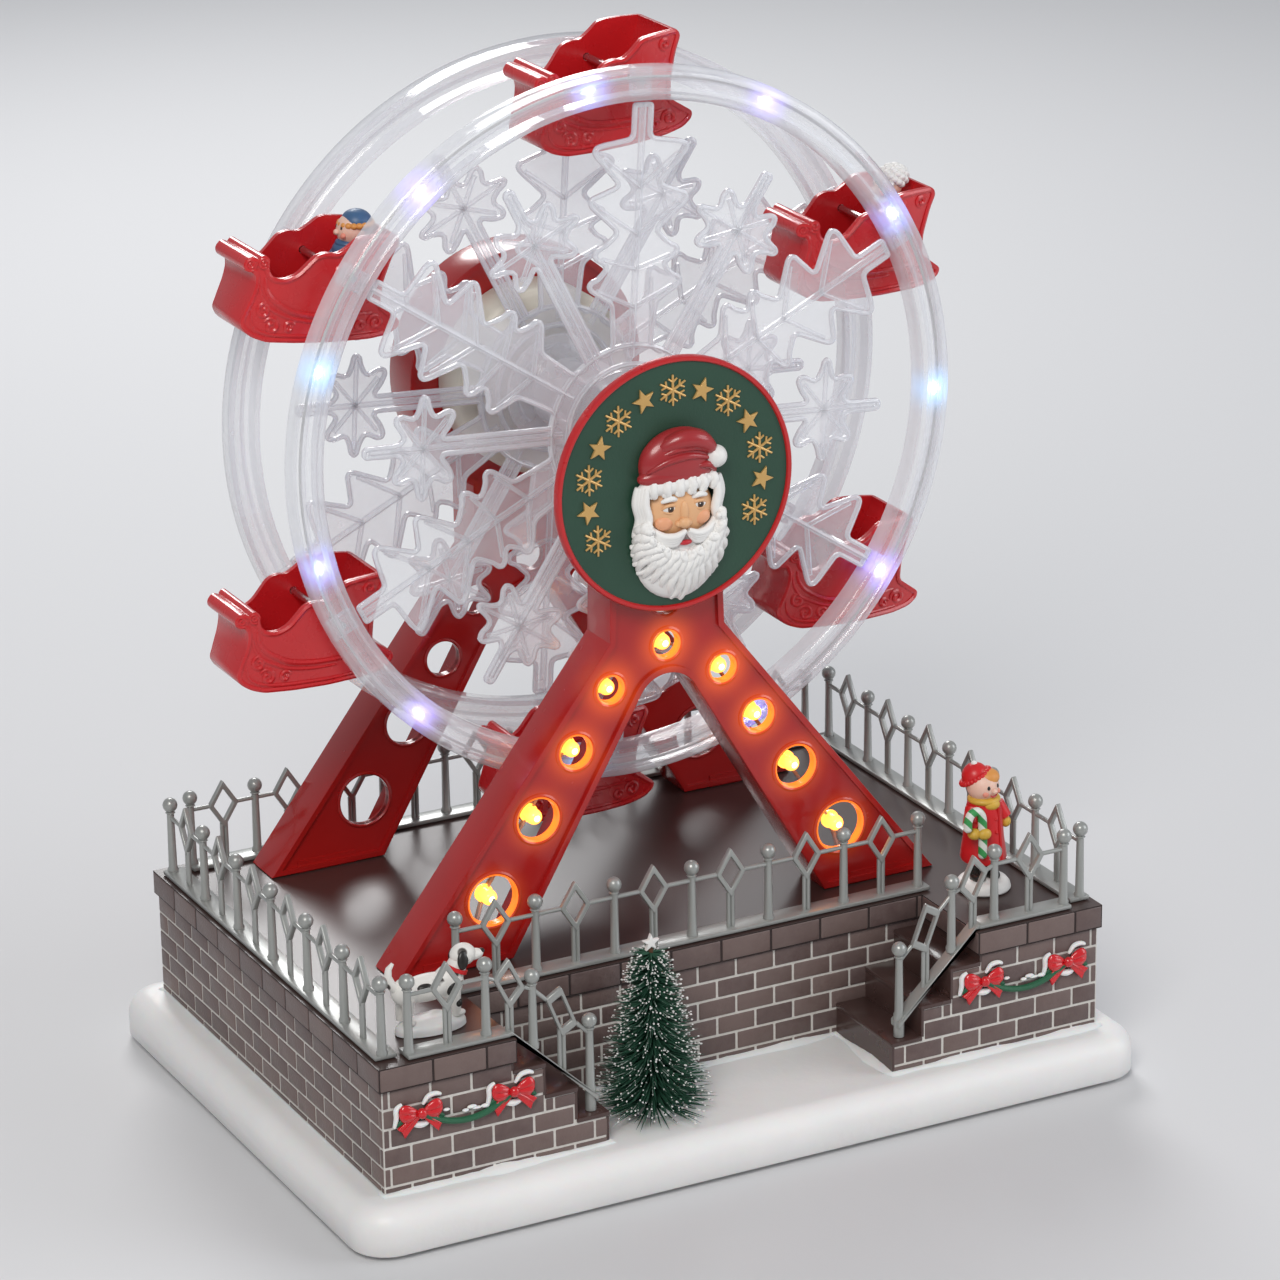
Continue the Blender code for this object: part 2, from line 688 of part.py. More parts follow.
def tongue_slot(face, side):
    x = tongue_middle(side)
    y = face + FRAME_LIP + FRAME_WEB / 2
    half = TONGUE_WIDTH / 2 + GAP
    return block(
        (x - half, x + half),
        (y - TONGUE_DEPTH / 2 - GAP, y + TONGUE_DEPTH / 2 + GAP),
        (DECK - 3 * BRICK_WALL, DECK + BRICK_WALL),
    )


# Fences

def fence_outlines(feet, ground):
    """The pickets and the rail of a fence as flat outlines.

    feet are the feet (x, z) of its posts, and ground the height of its strip at any x.
    """
    rail_lift = FENCE_HEIGHT - DIAMOND_HEIGHT / 4
    half_width = DIAMOND_WIDTH / 2
    half_height = DIAMOND_HEIGHT / 2
    corner = RAIL_RADIUS * half_width / half_height
    stem = STEM_HALF_WIDTH
    stem_top = half_height - stem * half_height / half_width
    x, z = feet[0]
    below = [(x, z + rail_lift - RAIL_RADIUS)]
    above = [(x, z + rail_lift + RAIL_RADIUS)]
    holes = []
    for (x1, z1), (x2, z2) in zip(feet, feet[1:]):
        slope = (z2 - z1) / (x2 - x1)
        x = (x1 + x2) / 2
        waist = (z1 + z2) / 2 + rail_lift

        def at(across, up):
            return (x + across, waist + across * slope + up)

        foot = ground(x) - FENCE_STRIP_HEIGHT / 2
        below += [
            at(-half_width + corner, -RAIL_RADIUS),
            at(-stem, -stem_top),
            (x - stem, foot - stem * slope),
            (x + stem, foot + stem * slope),
            at(stem, -stem_top),
            at(half_width - corner, -RAIL_RADIUS),
        ]
        above += [
            at(-half_width + corner, RAIL_RADIUS),
            at(0.0, half_height),
            at(half_width - corner, RAIL_RADIUS),
        ]
        open_share = 1 - DIAMOND_BAR * math.hypot(half_width, half_height) / half_width / half_height
        opening = [at(half_width, 0.0), at(0.0, half_height), at(-half_width, 0.0), at(0.0, -half_height)]
        holes.append([(x + (u - x) * open_share, waist + (v - waist) * open_share) for u, v in opening])
    x, z = feet[-1]
    below.append((x, z + rail_lift - RAIL_RADIUS))
    above.append((x, z + rail_lift + RAIL_RADIUS))
    return [below + list(reversed(above))] + holes


def post(x, foot, drop=0.0):
    """A post that tapers up to its ball, from below the strip's top."""
    top = foot + FENCE_HEIGHT
    profile = [
        (0.0, top + BALL_RADIUS),
        (BALL_RADIUS, top),
        (POST_RADIUS * 0.75, top - BALL_RADIUS),
        (POST_RADIUS, foot - FENCE_STRIP_HEIGHT / 2 - drop),
        (0.0, foot - FENCE_STRIP_HEIGHT / 2 - drop),
    ]
    turn = Matrix.Rotation(math.radians(10), 4, "Z")
    return turned(profile, 5, Matrix.Translation((x, 0.0, 0.0)) @ turn)


def fence_run(stations, ground, strips, last_drop=0.0):
    """A fence on y = 0, from where its posts stand, the height of the ground and its strips."""
    half = FENCE_BAR_DEPTH / 2
    feet = [(x, ground(x)) for x in stations]
    pickets = plate_xz(fence_outlines(feet, ground), -half, half)
    posts = [post(x, z) for x, z in feet[:-1]]
    posts.append(post(*feet[-1], last_drop))
    return united([pickets] + strips + posts)


def straight_fence(length, bays, high, strip):
    """A level fence about x = 0; strip is (past the end posts, near edge, far edge)."""
    past, near, far = strip
    stations = [length * (i / bays - 0.5) for i in range(bays + 1)]
    reach = length / 2 + past
    ground = block((-reach, reach), (near, far), (high - FENCE_STRIP_HEIGHT, high))
    return fence_run(stations, lambda x: high, [ground])


def fences():
    low = DECK + GAP
    high = low + FENCE_STRIP_HEIGHT
    inset = CAP_OVERHANG - FENCE_EDGE
    width = FENCE_STRIP_WIDTH
    near = -FENCE_LINE
    side_length = BRICK_DEPTH - 2 * SIDE_FENCE_INSET
    side = straight_fence(side_length, SIDE_FENCE_BAYS, high, (POST_RADIUS, near, width + near))
    side_x = BRICK_RIGHT + inset - FENCE_LINE
    to_right = Matrix.Translation((side_x, 0.0, 0.0)) @ Matrix.Rotation(math.radians(90), 4, "Z")
    right = moved(side, to_right)
    show("fence_right", right, GREY)
    show("fence_left", mirrored(right), GREY)
    back_length = 2 * (side_x - BACK_FENCE_INSET)
    back = straight_fence(back_length, BACK_FENCE_BAYS, high, (POST_RADIUS, near, width + near))
    back_y = BRICK_BACK + inset - FENCE_LINE
    to_back = Matrix.Translation((0.0, back_y, 0.0)) @ Matrix.Rotation(math.radians(180), 4, "Z")
    show("fence_back", moved(back, to_back), GREY)
    front_length = 2 * (RECESS_HALF_WIDTH - FRONT_FENCE_INSET)
    front = straight_fence(front_length, FRONT_FENCE_BAYS, high, (2 * POST_RADIUS, near, width + near))
    front_y = RECESS_FRONT - inset + FENCE_LINE
    show("fence_front", shifted(front, (0.0, front_y, 0.0)), GREY)
    stair = stair_fence(high)
    stair_y = WING_FRONT - inset + FENCE_LINE
    show("fence_stair_right", shifted(stair, (0.0, stair_y, 0.0)), GREY)
    show("fence_stair_left", mirrored(shifted(stair, (0.0, stair_y, 0.0))), GREY)


def stair_fence(high):
    """The fence of the right wing, about y = 0, with its slope down beside the stair."""
    bend = RECESS_HALF_WIDTH
    slope = STEP_RISE / STEP_RUN
    run = STEP_COUNT * STEP_RUN - POST_RADIUS - OVERLAP
    lift = 0.15 * STEP_RUN
    low = high - FENCE_STRIP_HEIGHT
    near = -FENCE_LINE
    end_post = BRICK_RIGHT - WING_FENCE_INSET
    flat = block((bend, end_post + POST_RADIUS), (near, near + FENCE_STRIP_WIDTH), (low, high))
    fallen = high - (run - lift) * slope
    strip_points = [
        (bend + OVERLAP, low),
        (bend + OVERLAP, high),
        (bend - 0.5 * MM, high),
        (bend - run, fallen),
        (bend - run, fallen - 1.4 * FENCE_STRIP_HEIGHT),
        (bend - 1.2 * MM, low),
    ]
    slope_strip = plate_xz([strip_points], near + GAP, near + 0.75 * FENCE_STRIP_WIDTH)

    def ground(x):
        return high - max(0.0, bend + x - lift) * slope

    stations = (end_post, bend + WING_POST_INSET, bend - 0.3 * run, bend - run + POST_RADIUS)
    stations = [-x for x in stations]
    tread = DECK - STEP_COUNT * STEP_RISE
    drop = ground(stations[-1]) - tread - FENCE_STRIP_HEIGHT / 2 - GAP
    strips = [mirrored(flat), mirrored(slope_strip)]
    return mirrored(fence_run(stations, ground, strips, drop))


# A-frames

def leg_outer(height):
    return FOOT_OUTER + (NECK_HALF_WIDTH - FOOT_OUTER) * height / NECK_BOTTOM


def leg_inner(height):
    return FOOT_INNER * (1 - height / INNER_APEX)


def frame_outline(head_radius, bottom):
    """The outer edge of an A-frame, anticlockwise from the middle of its crotch."""
    lean = math.atan2(FOOT_INNER, INNER_APEX)
    crotch_radius = (INNER_APEX - CROTCH_TOP) * math.sin(lean) / (1 - math.sin(lean))
    crotch_z = CROTCH_TOP - crotch_radius
    crotch = arc((0.0, crotch_z), crotch_radius, math.pi / 2, lean, 4)
    shoulder = math.asin(min(1.0, NECK_HALF_WIDTH / head_radius))
    head = arc((0.0, AXLE_ABOVE_DECK), head_radius, shoulder - math.pi / 2, math.pi / 2, 8)
    half = crotch + [
        (leg_inner(bottom), bottom),
        (leg_outer(bottom), bottom),
        (NECK_HALF_WIDTH, NECK_BOTTOM),
    ]
    return mirror_outline(half + head)


def lamp_centres():
    """Every lamp hole of an A-frame, with its radius, from the left foot over to the right one."""
    legs = [((leg_outer(z) + leg_inner(z)) / 2, z, radius) for z, radius in LAMP_HOLES]
    left = [(-x, z, radius) for x, z, radius in reversed(legs)]
    return left + [(0.0, TOP_LAMP_HEIGHT, TOP_LAMP_RADIUS)] + legs


def a_frame(face, head_radius, extra_holes):
    back = face + FRAME_DEPTH
    outline = frame_outline(head_radius, GAP)
    pocket = inset(outline, FRAME_WALL)
    web_front = face + FRAME_LIP
    web_back = web_front + FRAME_WEB
    body = plate_xz([outline], face, back, z=DECK)
    front_pocket = plate_xz([pocket], face - OVERLAP, web_front, z=DECK)
    back_pocket = plate_xz([pocket], web_back, back + OVERLAP, z=DECK)
    body = cut(body, [front_pocket, back_pocket])
    holes = [circle((x, z), radius) for x, z, radius in lamp_centres()]
    holes += extra_holes
    drills = [plate_xz([hole], face - OVERLAP, back - 2 * FRAME_WEB, z=DECK) for hole in holes]
    body = cut(body, drills)
    y = web_front + FRAME_WEB / 2
    tongues = [
        block(
            (tongue_middle(side) - TONGUE_WIDTH / 2, tongue_middle(side) + TONGUE_WIDTH / 2),
            (y - TONGUE_DEPTH / 2, y + TONGUE_DEPTH / 2),
            (DECK - BRICK_WALL, DECK + 2 * FRAME_WALL),
        )
        for side in (-1, 1)
    ]
    return united([body] + tongues)


def frames():
    bearing = circle((0.0, AXLE_ABOVE_DECK), BUSH_RADIUS + GAP, 20)
    notch = circle((0.0, NOTCH_HEIGHT), NOTCH_RADIUS)
    shaft = circle((0.0, AXLE_ABOVE_DECK - gear_distance()), MOTOR_SHAFT_RADIUS + 2 * GAP)
    show("front_frame", a_frame(FRONT_FRAME_FACE, FRONT_HEAD_RADIUS, [bearing, notch]), RED)
    show("rear_frame", a_frame(REAR_FRAME_FACE, REAR_HEAD_RADIUS, [bearing, shaft]), RED)


def amber_lights():
    """Nine lamps on one wire, held behind the front frame's web."""
    web_back = FRONT_FRAME_FACE + FRAME_LIP + FRAME_WEB
    wire_y = web_back + GAP + WIRE_RADIUS
    centres = [(x, DECK + z) for x, z, radius in lamp_centres()]
    end_x = centres[-1][0] + WIRE_END_REACH
    end_z = DECK + WIRE_END_HEIGHT
    route = [(-end_x, wire_y, end_z)]
    route += [(x, wire_y, z) for x, z in centres]
    route.append((end_x, wire_y, end_z))
    pieces = [tube(route, WIRE_RADIUS, 0)]
    for x, z in centres:
        tip = FRONT_FRAME_FACE + FRAME_LIP
        pieces.append(rod((x, wire_y + WIRE_RADIUS, z), (x, tip, z), BULB_RADIUS, 0.8 * BULB_RADIUS, 6))
    show("amber_light_string", united(pieces), AMBER)


# Sign

def sign():
    """A shallow dish on a round boss that seats on the front frame's lips, and the head on it."""
    back = FRONT_FRAME_FACE - GAP
    middle_z = DECK + SIGN_ABOVE_DECK
    rim_inner = SIGN_RADIUS - SIGN_RIM
    field = SIGN_BOSS_HEIGHT + SIGN_FIELD_THICKNESS
    rim = field + SIGN_RIM_HEIGHT
    profile = [
        (0.0, 0.0),
        (SIGN_BOSS_RADIUS, 0.0),
        (SIGN_BOSS_RADIUS, SIGN_BOSS_HEIGHT),
        (SIGN_RADIUS, SIGN_BOSS_HEIGHT),
        (SIGN_RADIUS, rim - SIGN_ROUNDING),
        (SIGN_RADIUS - SIGN_ROUNDING, rim),
        (rim_inner, rim),
        (rim_inner, field),
        (0.0, field),
    ]
    facing_front = Matrix.Rotation(math.radians(90), 4, "X")
    place = Matrix.Translation((0.0, back, middle_z)) @ facing_front
    show("sign_dish", turned(profile, 24, place), GREEN)
    show("sign_relief", relief(back - field - GAP, middle_z), CREAM)


def relief(back, middle_z):
    """A bearded old man's head in a winter cap, cut flat where it lies on the sign."""
    unit = SIGN_RADIUS / 35.5

    def lump(x, out, z, radii, around=12, along=8, tilt=0.0):
        centre = (x * unit, back - out * unit, middle_z + z * unit)
        return ball(centre, [radius * unit for radius in radii], around, along, math.radians(tilt))

    head = united(
        [
            lump(0.0, 0.0, -7.0, (12.2, 5.2, 11.0)),
            lump(0.2, 0.0, -18.4, (14.0, 4.2, 14.8), 10, 6),
            lump(-0.8, 5.0, -9.4, (1.7, 1.6, 1.7), 6, 4),
            lump(-1.0, 0.0, 1.0, (12.4, 4.8, 3.8), 12, 6),
            lump(-0.2, 0.0, 6.8, (11.4, 5.4, 9.8), 12, 8, -10.0),
            lump(10.3, 3.4, 7.4, (3.2, 3.2, 3.2), 8, 6),
        ]
    )
    reach = 2 * SIGN_RADIUS
    behind = block((-reach, reach), (back, back + reach), (middle_z - reach, middle_z + reach))
    return cut(head, [behind])


# Wheel

def ring_profile():
    """The ring's channel as (radius, depth), open on the side that faces the other ring."""
    outer, inner = WHEEL_RADIUS, RING_INNER
    wall = RING_WALL
    width = RING_WIDTH
    return [
        (inner, 0.0),
        (inner, -width),
        (outer, -width),
        (outer, 0.0),
        (outer - wall, 0.0),
        (outer - wall, -width + wall),
        (inner + wall, -width + wall),
        (inner + wall, 0.0),
    ]


def clear_ring():
    """A ring about the origin, its open side at y = 0 and its face towards -Y."""
    ring = turned(ring_profile(), RING_SIDES, along_y(0.0, 0.0, 0.0))
    bars = []
    for i in range(SLEIGH_COUNT):
        half = PIN_BAR_WIDTH / 2
        radial = (RING_INNER + RING_WALL / 2, WHEEL_RADIUS - RING_WALL / 2)
        bar_block = block(radial, (-PIN_BAR_DEPTH, 0.0), (-half, half))
        deep = (PIVOT_RADIUS, -2 * PIN_BAR_DEPTH, 0.0)
        drill = rod(deep, (PIVOT_RADIUS, OVERLAP, 0.0), PIN_RADIUS + GAP, sides=6)
        bars.append(moved(cut(bar_block, [drill]), about_axle(arm_angle(i))))
    return united([ring] + bars)


def arm_angle(i):
    return WHEEL_PHASE + 2 * math.pi * i / SLEIGH_COUNT


def about_axle(angle):
    """Turns +X towards +Z by an angle, about the Y axis."""
    return Matrix.Rotation(-angle, 4, "Y")


def polar_outline(points, angle):
    """Points given as (along the arm, across it), turned to the arm's direction."""
    c, s = math.cos(angle), math.sin(angle)
    return [(u * c - v * s, u * s + v * c) for u, v in points]


def major_arm():
    """One side of a fir-shaped arm, from the hub out to the ring, as (along, across)."""
    unit = WHEEL_RADIUS / 100
    tip = RING_INNER * FLAT_SHARE - GAP
    half = 3.2 * unit
    side = [(tip, half), (81.0 * unit, half)]
    for along, across, valley_along, valley in (
        (79.0, 14.8, 68.0, 6.4),
        (65.0, 15.4, 55.0, 6.2),
        (50.5, 13.4, 45.5, 9.0),
        (42.0, 14.6, 35.0, 7.0),
    ):
        side += [(along * unit, across * unit), (valley_along * unit, valley * unit)]
    return list(reversed(side))


def minor_arm():
    """One side of a slim arm that ends in a small snowflake, short of the ring."""
    unit = WHEEL_RADIUS / 100
    points = (
        (23.0, 2.6),
        (55.2, 2.6),
        (52.0, 8.2),
        (53.4, 10.2),
        (58.2, 8.6),
        (60.2, 14.6),
        (62.4, 14.6),
        (63.8, 8.4),
        (69.8, 8.2),
        (68.0, 2.4),
        (79.0, 1.6),
    )
    return [(along * unit, across * unit) for along, across in points]


def flake_outline():
    """The whole snowflake's edge: hub arcs with a major or a minor arm between them."""
    outline = []
    arms = 2 * SLEIGH_COUNT
    for i in range(arms):
        angle = WHEEL_PHASE + math.pi * i / SLEIGH_COUNT
        side = major_arm() if i % 2 == 0 else minor_arm()
        below = [(u, -v) for u, v in side]
        outline += polar_outline(below + list(reversed(side)), angle)
        between = angle + math.pi / SLEIGH_COUNT / 2
        outline += [(FLAKE_HUB_RADIUS * math.cos(between), FLAKE_HUB_RADIUS * math.sin(between))]
    return outline


def snowflake(name, y):
    bore = circle((0.0, 0.0), AXLE_RADIUS + GAP, 12)
    half = FLAKE_THICKNESS / 2
    show(name, plate_xz([flake_outline(), bore], y - half, y + half, z=AXLE_Z), CLEAR, origin=WHEEL_CENTRE)


def wheel():
    ring = clear_ring()
    face = RING_WIDTH / 2
    front = shifted(ring, (0.0, FRONT_RING_Y + face, AXLE_Z))
    turn_round = Matrix.Scale(-1, 4, Vector((0, 1, 0)))
    rear = moved(ring, Matrix.Translation((0.0, REAR_RING_Y - face, AXLE_Z)) @ turn_round)
    show("front_ring", front, CLEAR, origin=WHEEL_CENTRE)
    show("rear_ring", rear, CLEAR, origin=WHEEL_CENTRE)
    snowflake("front_snowflake", FRONT_RING_Y)
    snowflake("rear_snowflake", REAR_RING_Y)
    hub_low = FRONT_RING_Y + FLAKE_THICKNESS / 2 + GAP
    hub_length = RING_SPACING - FLAKE_THICKNESS - 2 * GAP
    bore = AXLE_RADIUS + GAP
    flange = 2.0 * MM
    profile = [
        (bore, hub_length),
        (HUB_RADIUS, hub_length),
        (HUB_RADIUS, hub_length - flange),
        (HUB_WAIST, hub_length - 2.5 * flange),
        (HUB_WAIST, 2.5 * flange),
        (HUB_RADIUS, flange),
        (HUB_RADIUS, 0.0),
        (bore, 0.0),
    ]
    hub = turned(profile, 16, along_y(0.0, hub_low, AXLE_Z))
    show("hub_drum", hub, CLEAR, origin=WHEEL_CENTRE)
    front_end = FRONT_FRAME_FACE + FRAME_LIP + GAP
    rear_end = REAR_FRAME_FACE + FRAME_LIP + FRAME_WEB + GAP + BUSH_FLANGE_THICKNESS
    axle = rod((0.0, front_end, AXLE_Z), (0.0, rear_end, AXLE_Z), AXLE_RADIUS, sides=20)
    show("wheel_axle", axle, STEEL, origin=WHEEL_CENTRE)
    slip_low = REAR_RING_Y + FLAKE_THICKNESS / 2 + GAP
    groove = 0.7 * MM
    slip_profile = [
        (bore, SLIP_RING_LENGTH),
        (SLIP_RING_RADIUS, SLIP_RING_LENGTH),
        (SLIP_RING_RADIUS, 0.66 * SLIP_RING_LENGTH),
        (SLIP_RING_RADIUS - groove, 0.6 * SLIP_RING_LENGTH),
        (SLIP_RING_RADIUS - groove, 0.4 * SLIP_RING_LENGTH),
        (SLIP_RING_RADIUS, 0.34 * SLIP_RING_LENGTH),
        (SLIP_RING_RADIUS, 0.0),
        (bore, 0.0),
    ]
    slip_ring = turned(slip_profile, 12, along_y(0.0, slip_low, AXLE_Z))
    show("slip_ring", slip_ring, BRASS, origin=WHEEL_CENTRE)


def ring_lights():
    """Eleven lamps on a ring of wire, in front of the pin bars in the front ring's channel."""
    y = FRONT_RING_Y - RING_WIDTH / 2 + RING_WALL + GAP + RING_LAMP_RADIUS
    wire_radius = (WHEEL_RADIUS - RING_WALL) * FLAT_SHARE - GAP - RING_WIRE_RADIUS
    route = [(x, y, AXLE_Z + z) for x, z in circle((0.0, 0.0), wire_radius, 3 * RING_LAMPS)]
    pieces = [tube(route, RING_WIRE_RADIUS, 0, closed=True)]
    lamp_radius = wire_radius - RING_LAMP_RADIUS
    for i in range(RING_LAMPS):
        angle = RING_LAMP_PHASE + 2 * math.pi * i / RING_LAMPS
        centre = (lamp_radius * math.cos(angle), y, AXLE_Z + lamp_radius * math.sin(angle))
        outward = Vector((math.cos(angle), 0.0, math.sin(angle))) * RING_LAMP_RADIUS
        pieces.append(rod(Vector(centre) - outward, Vector(centre) + outward, RING_LAMP_RADIUS, sides=4))
    show("ring_light_string", united(pieces), COOL, origin=WHEEL_CENTRE)


# Sleighs

def in_sleigh_units(points):
    unit = SLEIGH_LENGTH / 46.5
    return [(x * unit, z * unit) for x, z in points]


def sleigh_outline():
    """The side of a sleigh as (x, z) from its pin, anticlockwise from the heel.

    It has a pointed tail, a high back, a hump at the pin, a low rim, and two rolls at the top of
    its bulging front.
    """
    return in_sleigh_units(
        (
            (9.0, -18.4),
            (14.6, -17.4),
            (17.4, -15.5),
            (17.9, -13.6),
            (11.6, -8.8),
            (12.2, -3.0),
            (14.4, 3.8),
            (16.4, 8.0),
            (15.4, 10.0),
            (9.4, 9.8),
            (4.4, 9.4),
            (1.4, 6.8),
            (-1.6, 5.0),
            (-4.8, 5.6),
            (-7.8, 4.8),
            (-10.4, 2.2),
            (-12.8, 0.0),
            (-16.2, -1.2),
            (-19.4, -0.6),
            (-20.9, 1.6),
            (-20.7, 4.2),
            (-22.2, 5.5),
            (-24.2, 4.6),
            (-25.6, 5.4),
            (-27.6, 5.0),
            (-28.4, 3.2),
            (-27.4, 1.5),
            (-25.0, 1.0),
            (-24.5, -1.6),
            (-25.4, -5.0),
            (-27.6, -9.6),
            (-28.6, -12.4),
            (-27.4, -14.6),
            (-24.6, -16.6),
            (-20.6, -18.0),
            (-12.0, -18.6),
            (-2.0, -18.8),
        )
    )


def sleigh_room():
    """The hollow inside a sleigh, as (x, z) from its pin."""
    return in_sleigh_units(
        (
            (-19.4, 14.0),
            (-19.4, 1.4),
            (-22.6, -1.2),
            (-23.4, -5.2),
            (-25.4, -9.8),
            (-26.2, -12.2),
            (-23.6, -14.8),
            (-19.6, -16.2),
            (-8.0, -16.9),
            (8.6, -16.7),
            (9.7, -9.0),
            (10.3, -2.6),
            (12.5, 4.2),
            (14.0, 8.0),
            (14.0, 14.0),
        )
    )


def sleigh_body():
    """A sleigh about its pin, hollow and open at the top, with a seat across its back."""
    unit = SLEIGH_LENGTH / 46.5
    half = SLEIGH_WIDTH / 2
    inner = half - SLEIGH_WALL
    body = plate_xz([sleigh_outline()], -half, half)
    body = cut(body, [plate_xz([sleigh_room()], -inner, inner)])
    seat_side = inner + SLEIGH_WALL / 4
    seat = block((0.4 * unit, 10.6 * unit), (-seat_side, seat_side), (-17.6 * unit, -10.4 * unit))
    body = united([body, seat])
    bore = bore_radius(PIN_RADIUS, 10)
    pin_hole = rod((0.0, -SLEIGH_WIDTH, 0.0), (0.0, SLEIGH_WIDTH, 0.0), bore, sides=10)
    return cut(body, [pin_hole])


def passenger():
    """A small seated figure, with its coat's hem on the seat, about the sleigh's pin."""
    unit = SEATED_HEIGHT / 24
    seat = -10.4 * SLEIGH_LENGTH / 46.5 + GAP
    x = 4.4 * unit
    coat = rod((x, 0.0, seat), (x, 0.0, seat + 15.0 * unit), 4.8 * unit, 2.6 * unit, 8)
    knees = ball(
        (x - 2.0 * unit, 0.0, seat + 2.6 * unit), (3.8 * unit, 4.4 * unit, 2.4 * unit), 6, 4
    )
    head = ball((x, 0.0, seat + 18.0 * unit), (4.0 * unit, 4.0 * unit, 4.4 * unit))
    crown = (x + 0.6 * unit, 0.0, seat + 20.6 * unit)
    hat = ball(crown, (4.3 * unit, 4.3 * unit, 3.4 * unit), 8, 4)
    arms = []
    for side in (-1, 1):
        shoulder = (x + 0.6 * unit, side * 3.0 * unit, seat + 12.0 * unit)
        hand = (x - 0.8 * unit, side * 5.0 * unit, seat + 5.0 * unit)
        arms.append(rod(shoulder, hand, 1.5 * unit, sides=5))
    body = united([coat, knees, head, hat] + arms)
    reach = SLEIGH_LENGTH
    below_seat = block((-reach, reach), (-reach, reach), (seat - reach, seat))
    return cut(body, [below_seat])


def sleighs():
    body = sleigh_body()
    rider = passenger()
    riders = {1: ("passenger_blue", BLUE), 5: ("passenger_white_hat", COAT)}
    front = FRONT_RING_Y + RING_WIDTH / 2 - PIN_BAR_DEPTH
    rear = REAR_RING_Y - RING_WIDTH / 2 + PIN_BAR_DEPTH
    for i in range(SLEIGH_COUNT):
        angle = arm_angle(i)
        x = PIVOT_RADIUS * math.cos(angle)
        z = AXLE_Z + PIVOT_RADIUS * math.sin(angle)
        sway = Matrix.Rotation(math.radians(SLEIGH_SWAY[i]), 4, "Y")
        sleigh = show(f"sleigh_{i + 1}", moved(body, sway), SLEIGH_RED)
        sleigh.location = (x, WHEEL_Y, z)
        pin = rod((x, front, z), (x, rear, z), PIN_RADIUS)
        show(f"sleigh_pin_{i + 1}", pin, STEEL, origin=WHEEL_CENTRE)
        if i in riders:
            name, coat = riders[i]
            figure = show(name, moved(rider, sway), coat)
            figure.location = (x, WHEEL_Y, z)


# Drive

def gear_distance():
    return GEAR_MODULE * (AXLE_GEAR_TEETH + PINION_TEETH) / 2


def gear_outline(teeth, first_angle):
    """A spur gear's edge, with tapered teeth a little thin for running clearance."""
    pitch = GEAR_MODULE * teeth / 2
    root = pitch - 1.25 * GEAR_MODULE
    top = pitch + 0.9 * GEAR_MODULE
    thick = (math.pi * GEAR_MODULE / 2 - GEAR_BACKLASH) / 2
    levels = ((root, thick * 1.4), (top, thick * 0.5))
    outline = []
    for i in range(teeth):
        middle = first_angle + 2 * math.pi * i / teeth
        for radius, half in levels:
            outline.append((radius, middle - half / radius))
        for radius, half in reversed(levels):
            outline.append((radius, middle + half / radius))
    return [(r * math.cos(a), r * math.sin(a)) for r, a in outline]


